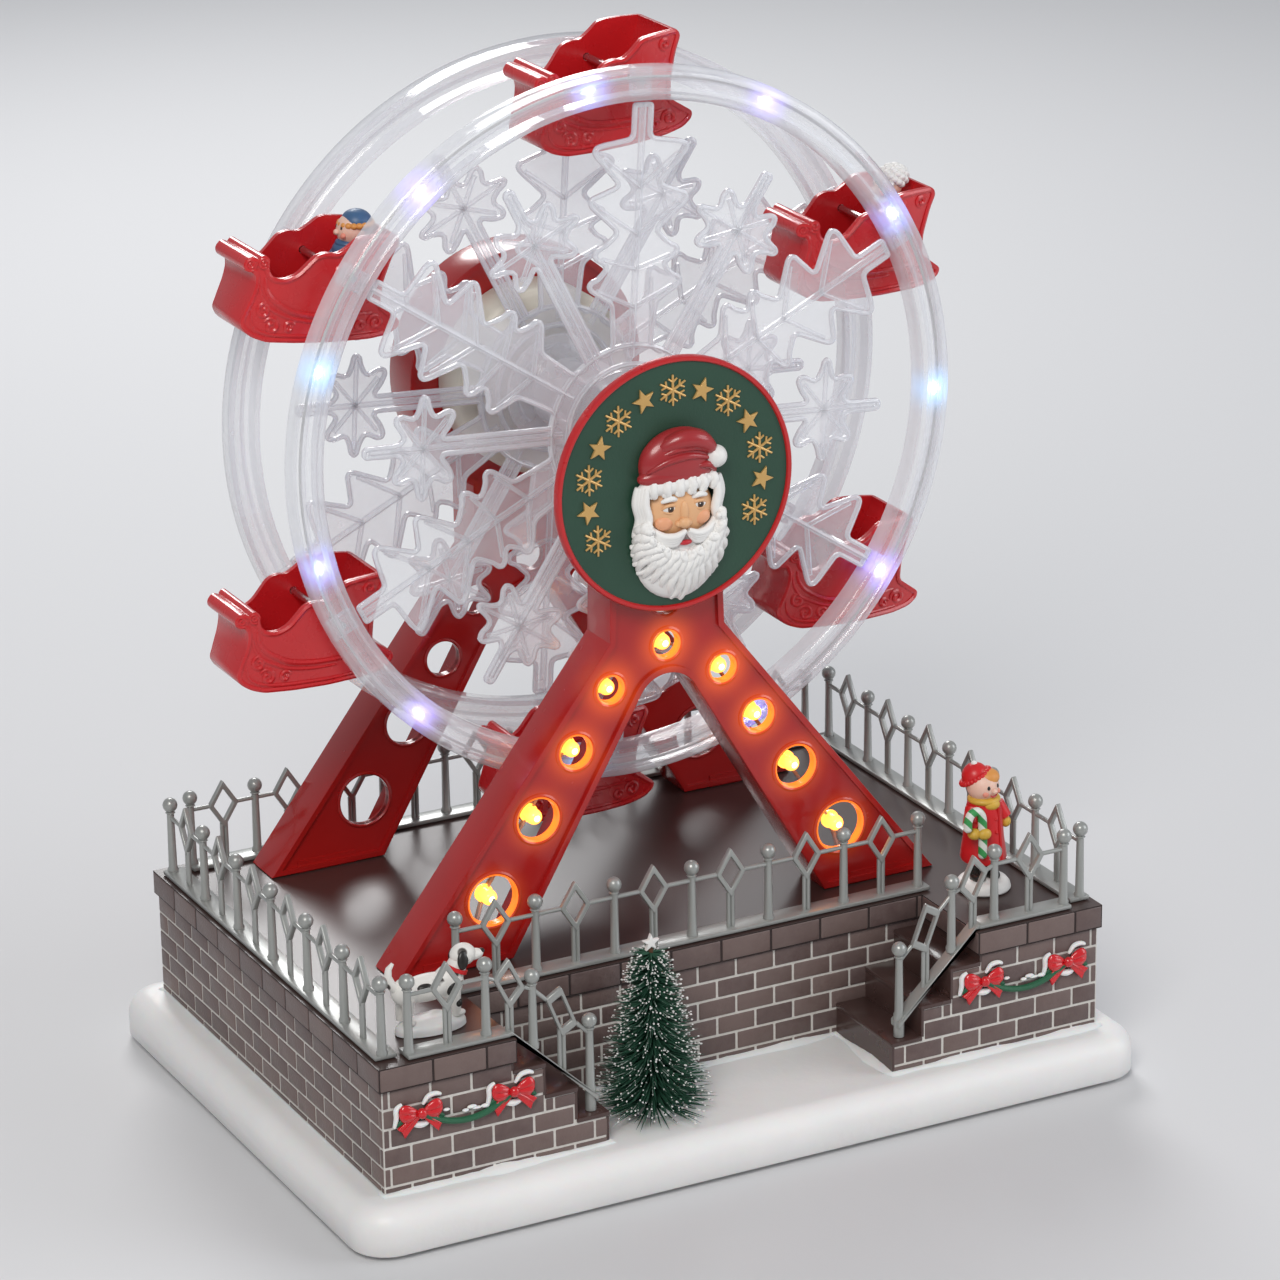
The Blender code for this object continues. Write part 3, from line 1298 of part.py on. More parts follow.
def drive():
    gear_y = REAR_FRAME_FACE + FRAME_LIP - CASE_DEPTH + CASE_WALL + GEAR_STAND
    bore = circle((0.0, 0.0), AXLE_RADIUS + GAP, 12)
    down = -math.pi / 2
    outline = gear_outline(AXLE_GEAR_TEETH, down)
    gear = plate_xz([outline, bore], gear_y, gear_y + GEAR_WIDTH, z=AXLE_Z)
    show("axle_gear", gear, WHITE, origin=WHEEL_CENTRE)
    pinion_z = AXLE_Z - gear_distance()
    half_tooth = math.pi / PINION_TEETH
    pinion = plate_xz(
        [gear_outline(PINION_TEETH, math.pi / 2 + half_tooth)],
        gear_y - 0.5 * MM,
        gear_y + GEAR_WIDTH + 0.5 * MM,
        z=pinion_z,
    )
    web_back = REAR_FRAME_FACE + FRAME_LIP + FRAME_WEB
    motor_face = web_back + GAP
    shaft_end = motor_face + SHAFT_IN_MOTOR
    shaft_start = (0.0, gear_y + OVERLAP, pinion_z)
    shaft = rod(shaft_start, (0.0, shaft_end, pinion_z), MOTOR_SHAFT_RADIUS, sides=12)
    show("motor_pinion", united([pinion, shaft]), BRASS, origin=(0.0, gear_y, pinion_z))
    motor = turned(
        [
            (0.0, MOTOR_LENGTH),
            (MOTOR_RADIUS - MM, MOTOR_LENGTH),
            (MOTOR_RADIUS, MOTOR_LENGTH - MM),
            (MOTOR_RADIUS, 0.0),
            (bore_radius(MOTOR_SHAFT_RADIUS, 16), 0.0),
            (bore_radius(MOTOR_SHAFT_RADIUS, 16), SHAFT_IN_MOTOR + GAP),
            (0.0, SHAFT_IN_MOTOR + GAP),
        ],
        16,
        along_y(0.0, motor_face, pinion_z),
    )
    show("gear_motor", motor, STEEL)
    case_back = REAR_FRAME_FACE + FRAME_LIP - GAP
    case_inner = CASE_RADIUS - CASE_WALL
    opening = AXLE_RADIUS + 2 * GAP
    case = turned(
        [
            (opening, CASE_WALL),
            (case_inner, CASE_WALL),
            (case_inner, CASE_DEPTH),
            (CASE_RADIUS, CASE_DEPTH),
            (CASE_RADIUS, 0.0),
            (opening, 0.0),
        ],
        24,
        along_y(0.0, case_back - CASE_DEPTH, AXLE_Z),
    )
    show("gear_case", case, WHITE)
    bearings()
    cover_low = REAR_FRAME_FACE + FRAME_DEPTH + GAP
    cover = turned(
        [
            (0.0, COVER_THICKNESS),
            (0.92 * REAR_HEAD_RADIUS, COVER_THICKNESS),
            (REAR_HEAD_RADIUS - GAP, COVER_THICKNESS / 2),
            (REAR_HEAD_RADIUS - GAP, 0.0),
            (0.0, 0.0),
        ],
        24,
        along_y(0.0, cover_low, AXLE_Z),
    )
    show("rear_cover", cover, RED)


def bush(face):
    """A flanged bush in a frame's web, its flange behind the web."""
    web_front = face + FRAME_LIP
    flange_at = FRAME_WEB + GAP
    bore = bore_radius(AXLE_RADIUS, 20)
    profile = [
        (bore, flange_at + BUSH_FLANGE_THICKNESS),
        (BUSH_FLANGE, flange_at + BUSH_FLANGE_THICKNESS),
        (BUSH_FLANGE, flange_at),
        (BUSH_RADIUS, flange_at),
        (BUSH_RADIUS, 0.0),
        (bore, 0.0),
    ]
    return turned(profile, 20, along_y(0.0, web_front, AXLE_Z))


def bearings():
    show("front_bearing", bush(FRONT_FRAME_FACE), BRASS)
    show("rear_bearing", bush(REAR_FRAME_FACE), BRASS)


# Electrics

def electrics():
    plate_top = FOOT_HEIGHT + GAP + PLATE_THICKNESS
    speaker = turned(
        [
            (0.0, SPEAKER_HEIGHT),
            (8.0 * MM, SPEAKER_HEIGHT),
            (8.0 * MM, SPEAKER_HEIGHT - 4.0 * MM),
            (SPEAKER_RADIUS, 1.6 * MM),
            (SPEAKER_RADIUS, 0.0),
            (SPEAKER_RADIUS - 2.0 * MM, 0.0),
            (5.0 * MM, 3.6 * MM),
            (0.0, 3.2 * MM),
        ],
        16,
        Matrix.Translation((SPEAKER_X, SPEAKER_Y, plate_top + GAP)),
    )
    show("speaker", speaker, BLACK)
    low = plate_top + BOARD_STAND + GAP
    half_x = BOARD_WIDTH / 2
    half_y = BOARD_DEPTH / 2
    board = block((-half_x, half_x), (BOARD_Y - half_y, BOARD_Y + half_y), (low, low + BOARD_THICKNESS))
    top = low + BOARD_THICKNESS
    chip = block((-6 * MM, 6 * MM), (BOARD_Y - 4 * MM, BOARD_Y + 4 * MM), (low + MM, top + 2.5 * MM))
    capacitor = rod((13 * MM, BOARD_Y, low + MM), (13 * MM, BOARD_Y, top + 8 * MM), 3.0 * MM, sides=12)
    plug = block((-18 * MM, -12 * MM), (BOARD_Y - 8 * MM, BOARD_Y + 8 * MM), (low + MM, top + 5 * MM))
    show("music_board", united([board, chip, capacitor, plug]), BOARD)
    switch()


def switch():
    """A slide switch on the back wall. Its rest is ON, at the +X end of its slot."""
    z = SNOW_TOP + SWITCH_ABOVE_SNOW
    wall_inside = BRICK_BACK - BRICK_WALL
    half = KNOB_WIDTH / 2 + SWITCH_TRAVEL / 2
    flange = 1.4 * MM
    knob_x = SWITCH_X + SWITCH_TRAVEL / 2
    knob = block(
        (knob_x - KNOB_WIDTH / 2, knob_x + KNOB_WIDTH / 2),
        (wall_inside - GAP - flange, BRICK_BACK + KNOB_LENGTH),
        (z - KNOB_HEIGHT / 2, z + KNOB_HEIGHT / 2),
    )
    wing = block(
        (knob_x - KNOB_WIDTH / 2 - MM, knob_x + KNOB_WIDTH / 2 + MM),
        (wall_inside - GAP - flange, wall_inside - GAP),
        (z - KNOB_HEIGHT / 2 - MM, z + KNOB_HEIGHT / 2 + MM),
    )
    show("switch_slider", united([knob, wing]), BLACK, origin=(knob_x, wall_inside, z))
    body_half = half + 4.0 * MM
    room = half + MM + GAP
    deep = 8.0 * MM
    body = block(
        (SWITCH_X - body_half, SWITCH_X + body_half),
        (wall_inside - GAP - deep, wall_inside - GAP),
        (z - 6.0 * MM, z + 6.0 * MM),
    )
    pocket = block(
        (SWITCH_X - room, SWITCH_X + room),
        (wall_inside - 2 * GAP - flange, wall_inside + MM),
        (z - KNOB_HEIGHT / 2 - MM - GAP, z + KNOB_HEIGHT / 2 + MM + GAP),
    )
    show("switch_housing", cut(body, [pocket]), STEEL)


# Figures and ornaments

def child_figure():
    """A child in a long coat who holds a parcel, on a round snow base."""
    unit = CHILD_HEIGHT / 38
    x = BRICK_RIGHT - CHILD_FROM_SIDE
    y = WING_FRONT + CHILD_FROM_FRONT
    low = DECK + GAP

    def at(across, along, up):
        return (x + across * unit, y + along * unit, low + up * unit)

    def lump(across, along, up, radii, around=8, rings=6):
        return ball(at(across, along, up), [radius * unit for radius in radii], around, rings)

    pieces = [
        rod(at(0, 0, 9), at(0, 0, 27), 7.2 * unit, 3.6 * unit, 10),
        rod(at(0, 0, 0), at(0, 0, 3), 8.0 * unit, 7.0 * unit, 12),
        lump(-0.6, 0, 31, (4.8, 4.8, 4.9)),
        lump(0.4, 0.8, 33, (5.1, 4.9, 4.6)),
        lump(0, 0, 26.4, (4.9, 4.9, 1.9), 8, 4),
    ]
    for side in (-1, 1):
        leg = side * 2.2
        pieces.append(rod(at(leg, 0, 2), at(leg, 0, 11), 1.9 * unit, sides=6))
        shoulder = at(side * 4.4, 0, 23.5)
        hand = at(side * 6.4 - 2, -5.4, 16.5)
        pieces.append(rod(shoulder, hand, 2.2 * unit, sides=6))
    left, front, bottom = at(-9.4, -8.4, 12)
    right, rear, top = at(-2.4, -4.4, 24)
    pieces.append(block((left, right), (front, rear), (bottom, top)))
    show("child_figure", united(pieces), COAT)


def dog_on_mound():
    """A spotted dog that stands on a mound of snow and looks to the right."""
    unit = DOG_HEIGHT / 26.5
    x = -(BRICK_RIGHT - DOG_FROM_SIDE)
    y = WING_FRONT + DOG_FROM_FRONT
    low = DECK + GAP
    left, front, floor = x - 10 * unit, y - 5 * unit, low
    right, rear, crest = x + 10 * unit, y + 5 * unit, low + 4.6 * unit
    mound = bevelled(block((left, right), (front, rear), (floor, crest)), 1.8 * unit, 1)

    def at(across, along, up):
        return (x + across * unit, y + along * unit, low + (4 + up) * unit)

    def lump(across, along, up, radii, around=8, rings=6):
        return ball(at(across, along, up), [radius * unit for radius in radii], around, rings)

    pieces = [
        lump(-0.5, 0, 10, (10.0, 3.9, 4.4)),
        mound,
        rod(at(6, 0, 10), at(9.4, 0, 17.6), 3.4 * unit, 2.8 * unit, 8),
        lump(10, 0, 19, (4.3, 3.4, 3.5)),
        lump(14, 0, 18.4, (3.2, 1.9, 1.8), 6, 4),
        rod(at(-9, 0, 11), at(-12.6, 0, 20), 1.6 * unit, 0.9 * unit, 5),
    ]
    for side in (-1, 1):
        pieces.append(lump(8.6, side * 3, 18.4, (1.8, 1.0, 2.8), 6, 4))
        for leg in (-7.0, 6.0):
            foot = at(leg, side * 2.2, 0)
            hip = at(leg, side * 2.2, 9)
            pieces.append(rod(foot, hip, 1.5 * unit, 1.9 * unit, 4))
    show("dog_on_mound", united(pieces), FUR)


def tree():
    """A bottle-brush fir: bristles on a wire stem, longest at the bottom."""
    low = SNOW_TOP + GAP
    top = low + TREE_HEIGHT
    y = WING_FRONT + TREE_FROM_FRONT
    stem = rod((TREE_X, y, low), (TREE_X, y, low + 0.942 * TREE_HEIGHT), TREE_STEM_RADIUS, sides=6)
    golden = math.pi * (3 - math.sqrt(5))
    brush_low = 0.125 * TREE_HEIGHT
    brush_length = 0.779 * TREE_HEIGHT
    strands = []
    for i in range(TREE_STRANDS):
        share = (i + 0.5) / TREE_STRANDS
        height = low + brush_low + brush_length * share
        reach = TREE_RADIUS * (1.0 - 0.68 * share ** 1.25) * (0.94 + 0.06 * math.cos(7.0 * i))
        droop = 0.10 * reach * (1 - share)
        turn = golden * i
        out = Vector((math.cos(turn), math.sin(turn), 0.0))
        root = Vector((TREE_X, y, height)) + out * TREE_STEM_RADIUS / 2
        tip = Vector((TREE_X, y, height - droop)) + out * reach
        strands.append(rod(root, tip, 0.2 * TREE_STEM_RADIUS, 0.0, 3))
    star_radius = 0.046 * TREE_HEIGHT
    star = ball((TREE_X, y, top - star_radius), (star_radius, 0.6 * star_radius, star_radius), 6, 4)
    show("bottle_brush_tree", united([stem, joined(strands), star]), NEEDLES)


def bow_shape(x, y, z):
    """A tied ribbon bow against the wall: two loops, a knot and two tails."""
    unit = BOW_WIDTH / 17.6
    middle_y = y - 1.6 * unit
    pieces = [ball((x, middle_y, z), (1.7 * unit, 1.6 * unit, 1.8 * unit), 6, 4)]
    for side in (-1, 1):
        loop = (x + side * 4.4 * unit, middle_y, z + 0.6 * unit)
        pieces.append(ball(loop, (4.4 * unit, 1.6 * unit, 3.4 * unit), 8, 4, -side * 0.3))
        tail = (x + side * 5.4 * unit, middle_y, z - 5.6 * unit)
        pieces.append(rod((x, middle_y, z), tail, 0.8 * unit, 1.3 * unit, 4))
    return pieces


def garlands():
    """On each wing, two bows with a swag of garland between them."""
    wall = WING_FRONT - GAP
    z = SNOW_TOP + BOW_HEIGHT_ON_WALL
    half = BOW_SPACING / 2
    middle = RECESS_HALF_WIDTH + BOW_FROM_RECESS + half
    radius = BOW_WIDTH / 16
    sag = 0.19 * BOW_SPACING
    swag = []
    count = 7
    for i in range(count):
        share = 2 * i / (count - 1) - 1
        swag.append((middle + share * half, wall - 1.3 * radius, z - sag * (1 - share * share)))
    pieces = [tube(swag, radius, 0)]
    pieces += bow_shape(middle - half, wall, z)
    pieces += bow_shape(middle + half, wall, z)
    right = united(pieces)
    show("right_garland", right, RIBBON)
    show("left_garland", mirrored(right), RIBBON)


snow_base()
bottom_plate()
battery_door()
battery_cells()
rubber_feet()
brick_platform()
fences()
frames()
amber_lights()
sign()
wheel()
ring_lights()
sleighs()
drive()
electrics()
child_figure()
dog_on_mound()
tree()
garlands()
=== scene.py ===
import math
import random

import bmesh
import bpy
from mathutils import Matrix, Vector, noise


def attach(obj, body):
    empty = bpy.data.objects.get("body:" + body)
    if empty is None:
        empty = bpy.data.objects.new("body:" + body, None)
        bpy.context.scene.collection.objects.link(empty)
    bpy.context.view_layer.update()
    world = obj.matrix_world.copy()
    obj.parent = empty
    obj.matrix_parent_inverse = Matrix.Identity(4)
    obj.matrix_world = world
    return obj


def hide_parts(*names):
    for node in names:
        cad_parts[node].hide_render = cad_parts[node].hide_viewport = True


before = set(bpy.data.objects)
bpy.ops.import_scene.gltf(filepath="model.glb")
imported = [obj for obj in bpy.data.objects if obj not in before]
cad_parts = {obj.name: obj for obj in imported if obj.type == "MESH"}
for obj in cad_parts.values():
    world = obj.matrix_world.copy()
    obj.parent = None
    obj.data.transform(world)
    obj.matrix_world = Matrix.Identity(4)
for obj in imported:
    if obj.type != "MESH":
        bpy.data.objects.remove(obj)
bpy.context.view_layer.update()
MM = 0.001

# Sizes shared with the CAD part
SNOW_TOP = 14.5 * MM
DECK = 51.5 * MM
CAP_BOTTOM = DECK - 6.8 * MM
BRICK_RIGHT = 110.0 * MM
BRICK_BACK = 76.0 * MM
RECESS_Y = -45.0 * MM
RECESS_X = 72.0 * MM
STEP_RUN = 9.3 * MM
STEP_RISE = 9.25 * MM
FENCE_FOOT = DECK + 1.5 * MM
FENCE_HEIGHT = 20.0 * MM
RAIL_LIFT = 16.25 * MM
AXLE = Vector((0.0, 13.75 * MM, 189.7 * MM))
RING_HALF_SPACING = 21.85 * MM
PIVOT_RADIUS = 95.5 * MM
PHASE = math.radians(86.0)
FRONT_FACE = -30.0 * MM
REAR_FACE = 54.0 * MM
SIGN_Z = DECK + 130.2 * MM
HEAD_RADIUS = 16.0 * MM
HOUSING_RADIUS = 36.0 * MM
SLEIGH_SWAY = (-5.0, 6.0, 0.0, 0.0, 0.0, 0.0)
LED_ANGLES = [math.radians(96.2) + 2 * math.pi * i / 11 for i in range(11)]


class Value:
    """A shader value that takes part in sums."""

    def __init__(self, graph, socket):
        self.graph = graph
        self.socket = socket

    def sum(self, operation, first, second):
        return self.graph.node("ShaderNodeMath", {"operation": operation}, {0: first, 1: second})

    def __add__(self, other):
        return self.sum("ADD", self, other)

    def __sub__(self, other):
        return self.sum("SUBTRACT", self, other)

    def __rsub__(self, other):
        return self.sum("SUBTRACT", other, self)

    def __mul__(self, other):
        return self.sum("MULTIPLY", self, other)

    def __pow__(self, other):
        return self.sum("POWER", self, other)

    def above(self, low, high):
        """0 below low, 1 above high, with a smooth step between."""
        settings = {"interpolation_type": "SMOOTHSTEP"}
        inputs = {"Value": self, "From Min": low, "From Max": high}
        return self.graph.node("ShaderNodeMapRange", settings, inputs)


class Graph:
    """A material and the nodes that feed its shader."""

    def __init__(self, name):
        self.material = bpy.data.materials.new(name)
        self.material.use_nodes = True
        self.tree = self.material.node_tree
        self.shader = self.tree.nodes["Principled BSDF"]

    def node(self, kind, settings=None, inputs=None, output=0):
        made = self.tree.nodes.new(kind)
        for name, value in (settings or {}).items():
            setattr(made, name, value)
        for key, value in (inputs or {}).items():
            self.join(value, made.inputs[key])
        return Value(self, made.outputs[output])

    def join(self, value, socket):
        if isinstance(value, Value):
            self.tree.links.new(value.socket, socket)
        elif socket.type == "RGBA" and len(value) == 3:
            socket.default_value = (*value, 1.0)
        else:
            socket.default_value = value

    def set(self, name, value):
        self.join(value, self.shader.inputs[name])

    def place(self):
        return self.node("ShaderNodeTexCoord", output="Object")

    def noise(self, size, detail=3.0):
        """Noise whose blobs are about size metres across."""
        inputs = {"Vector": self.place(), "Scale": 1 / size, "Detail": detail}
        return self.node("ShaderNodeTexNoise", inputs=inputs)

    def mix(self, share, first, second):
        settings = {"data_type": "RGBA"}
        return self.node("ShaderNodeMix", settings, {0: share, 6: first, 7: second}, output=2)

    def bump(self, height, depth, strength=1.0):
        inputs = {"Height": height, "Distance": depth, "Strength": strength}
        self.set("Normal", self.node("ShaderNodeBump", inputs=inputs))

    def part(self, axis):
        """One component of the place, in metres."""
        return self.node("ShaderNodeSeparateXYZ", inputs={0: self.place()}, output=axis)

    def glow(self, centres, reach):
        """1 beside any of some points, falling to 0 at a distance of reach."""
        total = 0.0
        for centre in centres:
            inputs = {0: self.place(), 1: centre}
            away = self.node("ShaderNodeVectorMath", {"operation": "DISTANCE"}, inputs, output=1)
            total = (1 - away.above(0.0, reach)) ** 2 + total
        return total


# Reach of the painted glows round the frame's lamps and the ring's lamps, then the ring glow's density and
# tints.
LAMP_GLOW_REACH = 15 * MM
LED_HALO_REACH = 11 * MM
LED_HALO_COVER = 0.22
LED_TINTS = ((0.10, 0.17, 1.0), (0.26, 0.13, 1.0), (0.05, 0.36, 0.75))


def shade(colour, factor):
    return tuple(min(1.0, c * factor) for c in colour)


def plastic(*finish, **extras):
    return plastic_graph(*finish, **extras).material


def plastic_graph(name, colour, roughness, mottle, grain=0.0, coat=0.0, metallic=0.0, subsurface=0.0):
    """A moulded or painted finish, a little uneven in colour and gloss."""
    graph = Graph(name)
    blotch = graph.noise(14 * MM, 4.0)
    graph.set("Base Color", graph.mix(blotch, shade(colour, 1 - mottle), shade(colour, 1 + mottle)))
    graph.set("Roughness", graph.noise(6 * MM, 3.0) * 0.16 + (roughness - 0.08))
    graph.set("Metallic", metallic)
    graph.set("Coat Weight", coat)
    graph.set("Coat Roughness", 0.08)
    if subsurface:
        graph.set("Subsurface Weight", subsurface)
        graph.set("Subsurface Scale", 2 * MM)
        graph.set("Subsurface Radius", (1.0, 0.6, 0.5))
    if grain:
        graph.bump(graph.noise(0.9 * MM, 4.0), grain)
    return graph


def lit_paint(name, colour, lamps):
    """Red paint with a painted orange glow round each lamp behind it, standing in for the lamp's light
    through the plastic.
    """
    graph = plastic_graph(name, colour, 0.24, 0.10, coat=0.3)
    # Painted glow: orange emission that fades away from each lamp.
    near = graph.glow(lamps, LAMP_GLOW_REACH)
    graph.set("Emission Color", graph.mix(near, (0.0, 0.0, 0.0), (1.0, 0.17, 0.012)))
    graph.set("Emission Strength", 0.75)
    return graph.material


def glowing(name, colour, strength, base=None):
    graph = Graph(name)
    graph.set("Base Color", base or colour)
    graph.set("Emission Color", colour)
    graph.set("Emission Strength", strength)
    graph.set("Roughness", 0.2)
    return graph.material


def clear_plastic(name, thin, dense, leds=()):
    """Clear moulded plastic: seen through face on, brighter and denser towards its edges.

    leds are places in it round which a painted glow, in three cool tints by turns, and a denser patch stand
    in for their light.
    """
    graph = Graph(name)
    rim = graph.node("ShaderNodeLayerWeight", inputs={"Blend": 0.35}, output="Facing")
    cloud = graph.noise(9 * MM, 3.0)
    graph.set("Base Color", graph.mix(cloud, (0.82, 0.84, 0.90), (0.95, 0.96, 1.0)))
    cover = rim * dense + cloud * 0.14 + thin
    if leds:
        # Painted glow: emission and extra density round each lamp stand in for its light in the plastic.
        halo = (0.0, 0.0, 0.0)
        for k, tint in enumerate(LED_TINTS):
            near = graph.glow(leds[k::len(LED_TINTS)], LED_HALO_REACH)
            halo = graph.mix(near, halo, tint)
            cover = cover + near * LED_HALO_COVER
        graph.set("Emission Color", halo)
        graph.set("Emission Strength", 1.3)
    graph.set("Alpha", cover)
    graph.set("Roughness", cloud * 0.12 + 0.05)
    graph.set("IOR", 1.49)
    graph.set("Coat Weight", 1.0)
    graph.set("Coat Roughness", 0.03)
    graph.set("Specular IOR Level", 0.8)
    graph.bump(graph.noise(5 * MM, 2.0), 0.5 * MM, 0.5)
    return graph.material


def brickwork():
    """Dark glazed bricks that differ a little from one to the next."""
    graph = Graph("brick_glaze")
    tint = graph.node("ShaderNodeAttribute", {"attribute_name": "shade"}, output="Fac")
    cloud = graph.noise(3 * MM, 5.0)
    dark = graph.mix(tint, (0.075, 0.045, 0.045), (0.155, 0.105, 0.095))
    graph.set("Base Color", graph.mix(cloud * 0.6, dark, (0.21, 0.155, 0.14)))
    graph.set("Roughness", cloud * 0.3 + 0.24)
    graph.bump(graph.noise(0.8 * MM, 5.0), 0.12 * MM)
    return graph.material


def mortar_and_deck():
    """Pale mortar on the walls, dark joints under the cap, and the dark smooth deck on top."""
    graph = Graph("mortar_and_deck")
    normal = graph.node("ShaderNodeNewGeometry", output="Normal")
    upward = graph.node("ShaderNodeSeparateXYZ", inputs={0: normal}, output=2).above(0.5, 0.9)
    cloud = graph.noise(40 * MM, 2.0)
    deck = graph.mix(cloud, (0.044, 0.025, 0.022), (0.064, 0.037, 0.033))
    pale = graph.mix(graph.noise(1.5 * MM), (0.52, 0.49, 0.45), (0.74, 0.72, 0.68))
    joints = graph.mix(graph.part(2).above(CAP_BOTTOM - 0.3 * MM, CAP_BOTTOM), pale, (0.030, 0.019, 0.018))
    graph.set("Base Color", graph.mix(upward, joints, deck))
    graph.set("Roughness", 0.85 - upward * 0.56)
    return graph.material


def snow_paint():
    graph = Graph("snow_paint")
    cloud = graph.noise(25 * MM, 4.0)
    graph.set("Base Color", graph.mix(cloud, (0.78, 0.77, 0.76), (0.88, 0.87, 0.86)))
    graph.set("Roughness", graph.noise(4 * MM) * 0.2 + 0.32)
    graph.set("Subsurface Weight", 0.15)
    graph.set("Subsurface Scale", 2 * MM)
    graph.bump(graph.noise(5 * MM, 4.0), 0.25 * MM, 0.6)
    return graph.material


def frosted_needles():
    """Dark green bristles with white frost that thickens towards each tip."""
    graph = Graph("frosted_needles")
    frost = graph.node("ShaderNodeAttribute", {"attribute_name": "frost"}, output="Fac")
    fleck = graph.noise(1.1 * MM, 2.0)
    share = (frost * 1.1 + fleck * 0.7 - 0.62).above(0.25, 0.8)
    graph.set("Base Color", graph.mix(share, (0.012, 0.07, 0.038), (0.62, 0.72, 0.66)))
    graph.set("Roughness", 0.75)
    return graph.material


def striped(name, first, second, width, direction, roughness=0.4):
    """Even stripes that follow each other along a direction."""
    graph = Graph(name)
    inputs = {0: graph.place(), 1: Vector(direction).normalized()}
    along = graph.node("ShaderNodeVectorMath", {"operation": "DOT_PRODUCT"}, inputs, output=1)
    wave = graph.node("ShaderNodeMath", {"operation": "SINE"}, {0: along * (2 * math.pi / width)})
    graph.set("Base Color", graph.mix(wave.above(-0.15, 0.15), first, second))
    graph.set("Roughness", roughness)
    return graph.material


def spotted_coat():
    graph = Graph("spotted_coat")
    inputs = {"Vector": graph.place(), "Scale": 1 / (5.2 * MM)}
    spots = graph.node("ShaderNodeTexVoronoi", inputs=inputs)
    share = (1 - spots.above(0.22, 0.30)) * graph.noise(7 * MM, 1.0).above(0.45, 0.5)
    graph.set("Base Color", graph.mix(share, (0.80, 0.78, 0.74), (0.05, 0.04, 0.035)))
    graph.set("Roughness", 0.42)
    return graph.material


FRAME_COLOUR = (0.40, 0.009, 0.008)
RED = plastic("frame_red", FRAME_COLOUR, 0.24, 0.10, coat=0.3)
SLEIGH_RED = plastic("sleigh_red", (0.56, 0.014, 0.018), 0.27, 0.10, coat=0.3)
RIM_RED = plastic("sign_rim_red", (0.50, 0.010, 0.012), 0.3, 0.08, coat=0.3)
GREEN = plastic("sign_green", (0.018, 0.060, 0.036), 0.42, 0.15, 0.05 * MM)
GOLD = plastic("gold_paint", (0.62, 0.38, 0.13), 0.34, 0.12, metallic=0.35)
FENCE = plastic("silver_grey_paint", (0.35, 0.36, 0.345), 0.34, 0.10, coat=0.2, metallic=0.35)
CLEAR = clear_plastic("clear_plastic", 0.15, 0.60)
CLEAR_PLATE = clear_plastic("clear_plate", 0.16, 0.42)
CLEAR_EDGE = clear_plastic("clear_edge", 0.34, 0.55)
BRICK = brickwork()
WALL = mortar_and_deck()
SNOW = snow_paint()
NEEDLES = frosted_needles()
WHITE = plastic("painted_white", (0.80, 0.79, 0.77), 0.45, 0.05, 0.05 * MM)
BEARD = plastic("beard_white", (0.84, 0.83, 0.81), 0.5, 0.05)
SKIN = plastic("painted_skin", (0.86, 0.55, 0.44), 0.45, 0.05, subsurface=0.2)
OLD_SKIN = plastic("relief_skin", (0.76, 0.43, 0.22), 0.45, 0.06)
OLD_CHEEK = plastic("relief_cheek", (0.78, 0.37, 0.20), 0.45, 0.05)
MOUTH = plastic("painted_mouth", (0.50, 0.02, 0.03), 0.4, 0.05)
CAP_RED = plastic("relief_red", (0.36, 0.022, 0.026), 0.30, 0.14, coat=0.25)
HAIR = plastic("painted_hair", (0.70, 0.30, 0.07), 0.45, 0.1)
CHEEK = plastic("painted_cheek", (0.76, 0.28, 0.20), 0.45, 0.05)
DARK = plastic("painted_black", (0.02, 0.017, 0.015), 0.3, 0.1)
COAT_RED = plastic("painted_red", (0.62, 0.012, 0.016), 0.36, 0.08)
SCARF = plastic("painted_yellow", (0.66, 0.40, 0.05), 0.45, 0.1)
BLUE = plastic("painted_blue", (0.05, 0.12, 0.24), 0.42, 0.1)
BROWN = plastic("painted_brown", (0.10, 0.045, 0.022), 0.45, 0.1)
HOLLY = plastic("garland_green", (0.015, 0.11, 0.05), 0.5, 0.25, 0.1 * MM)
RIBBON = plastic("ribbon_red", (0.62, 0.008, 0.014), 0.25, 0.08, coat=0.5)
DOG = spotted_coat()
PARCEL = striped("parcel_stripes", (0.74, 0.76, 0.70), (0.04, 0.30, 0.08), 3.1 * MM, (0.75, 0.0, 0.66))
STEEL = plastic("bright_steel", (0.58, 0.58, 0.58), 0.26, 0.06, metallic=1.0)
BRONZE = plastic("sintered_bronze", (0.50, 0.33, 0.15), 0.4, 0.12, metallic=1.0)
NYLON = plastic("natural_nylon", (0.72, 0.68, 0.58), 0.42, 0.06)
BLACK = plastic("black_plastic", (0.020, 0.020, 0.021), 0.5, 0.2, 0.08 * MM)
RUBBER = plastic("foot_rubber", (0.018, 0.018, 0.018), 0.8, 0.2, 0.1 * MM)
BOARD = plastic("circuit_board", (0.02, 0.16, 0.06), 0.45, 0.15)
AMBER = glowing("amber_glow", (1.0, 0.33, 0.04), 3.0, (1.0, 0.6, 0.2))
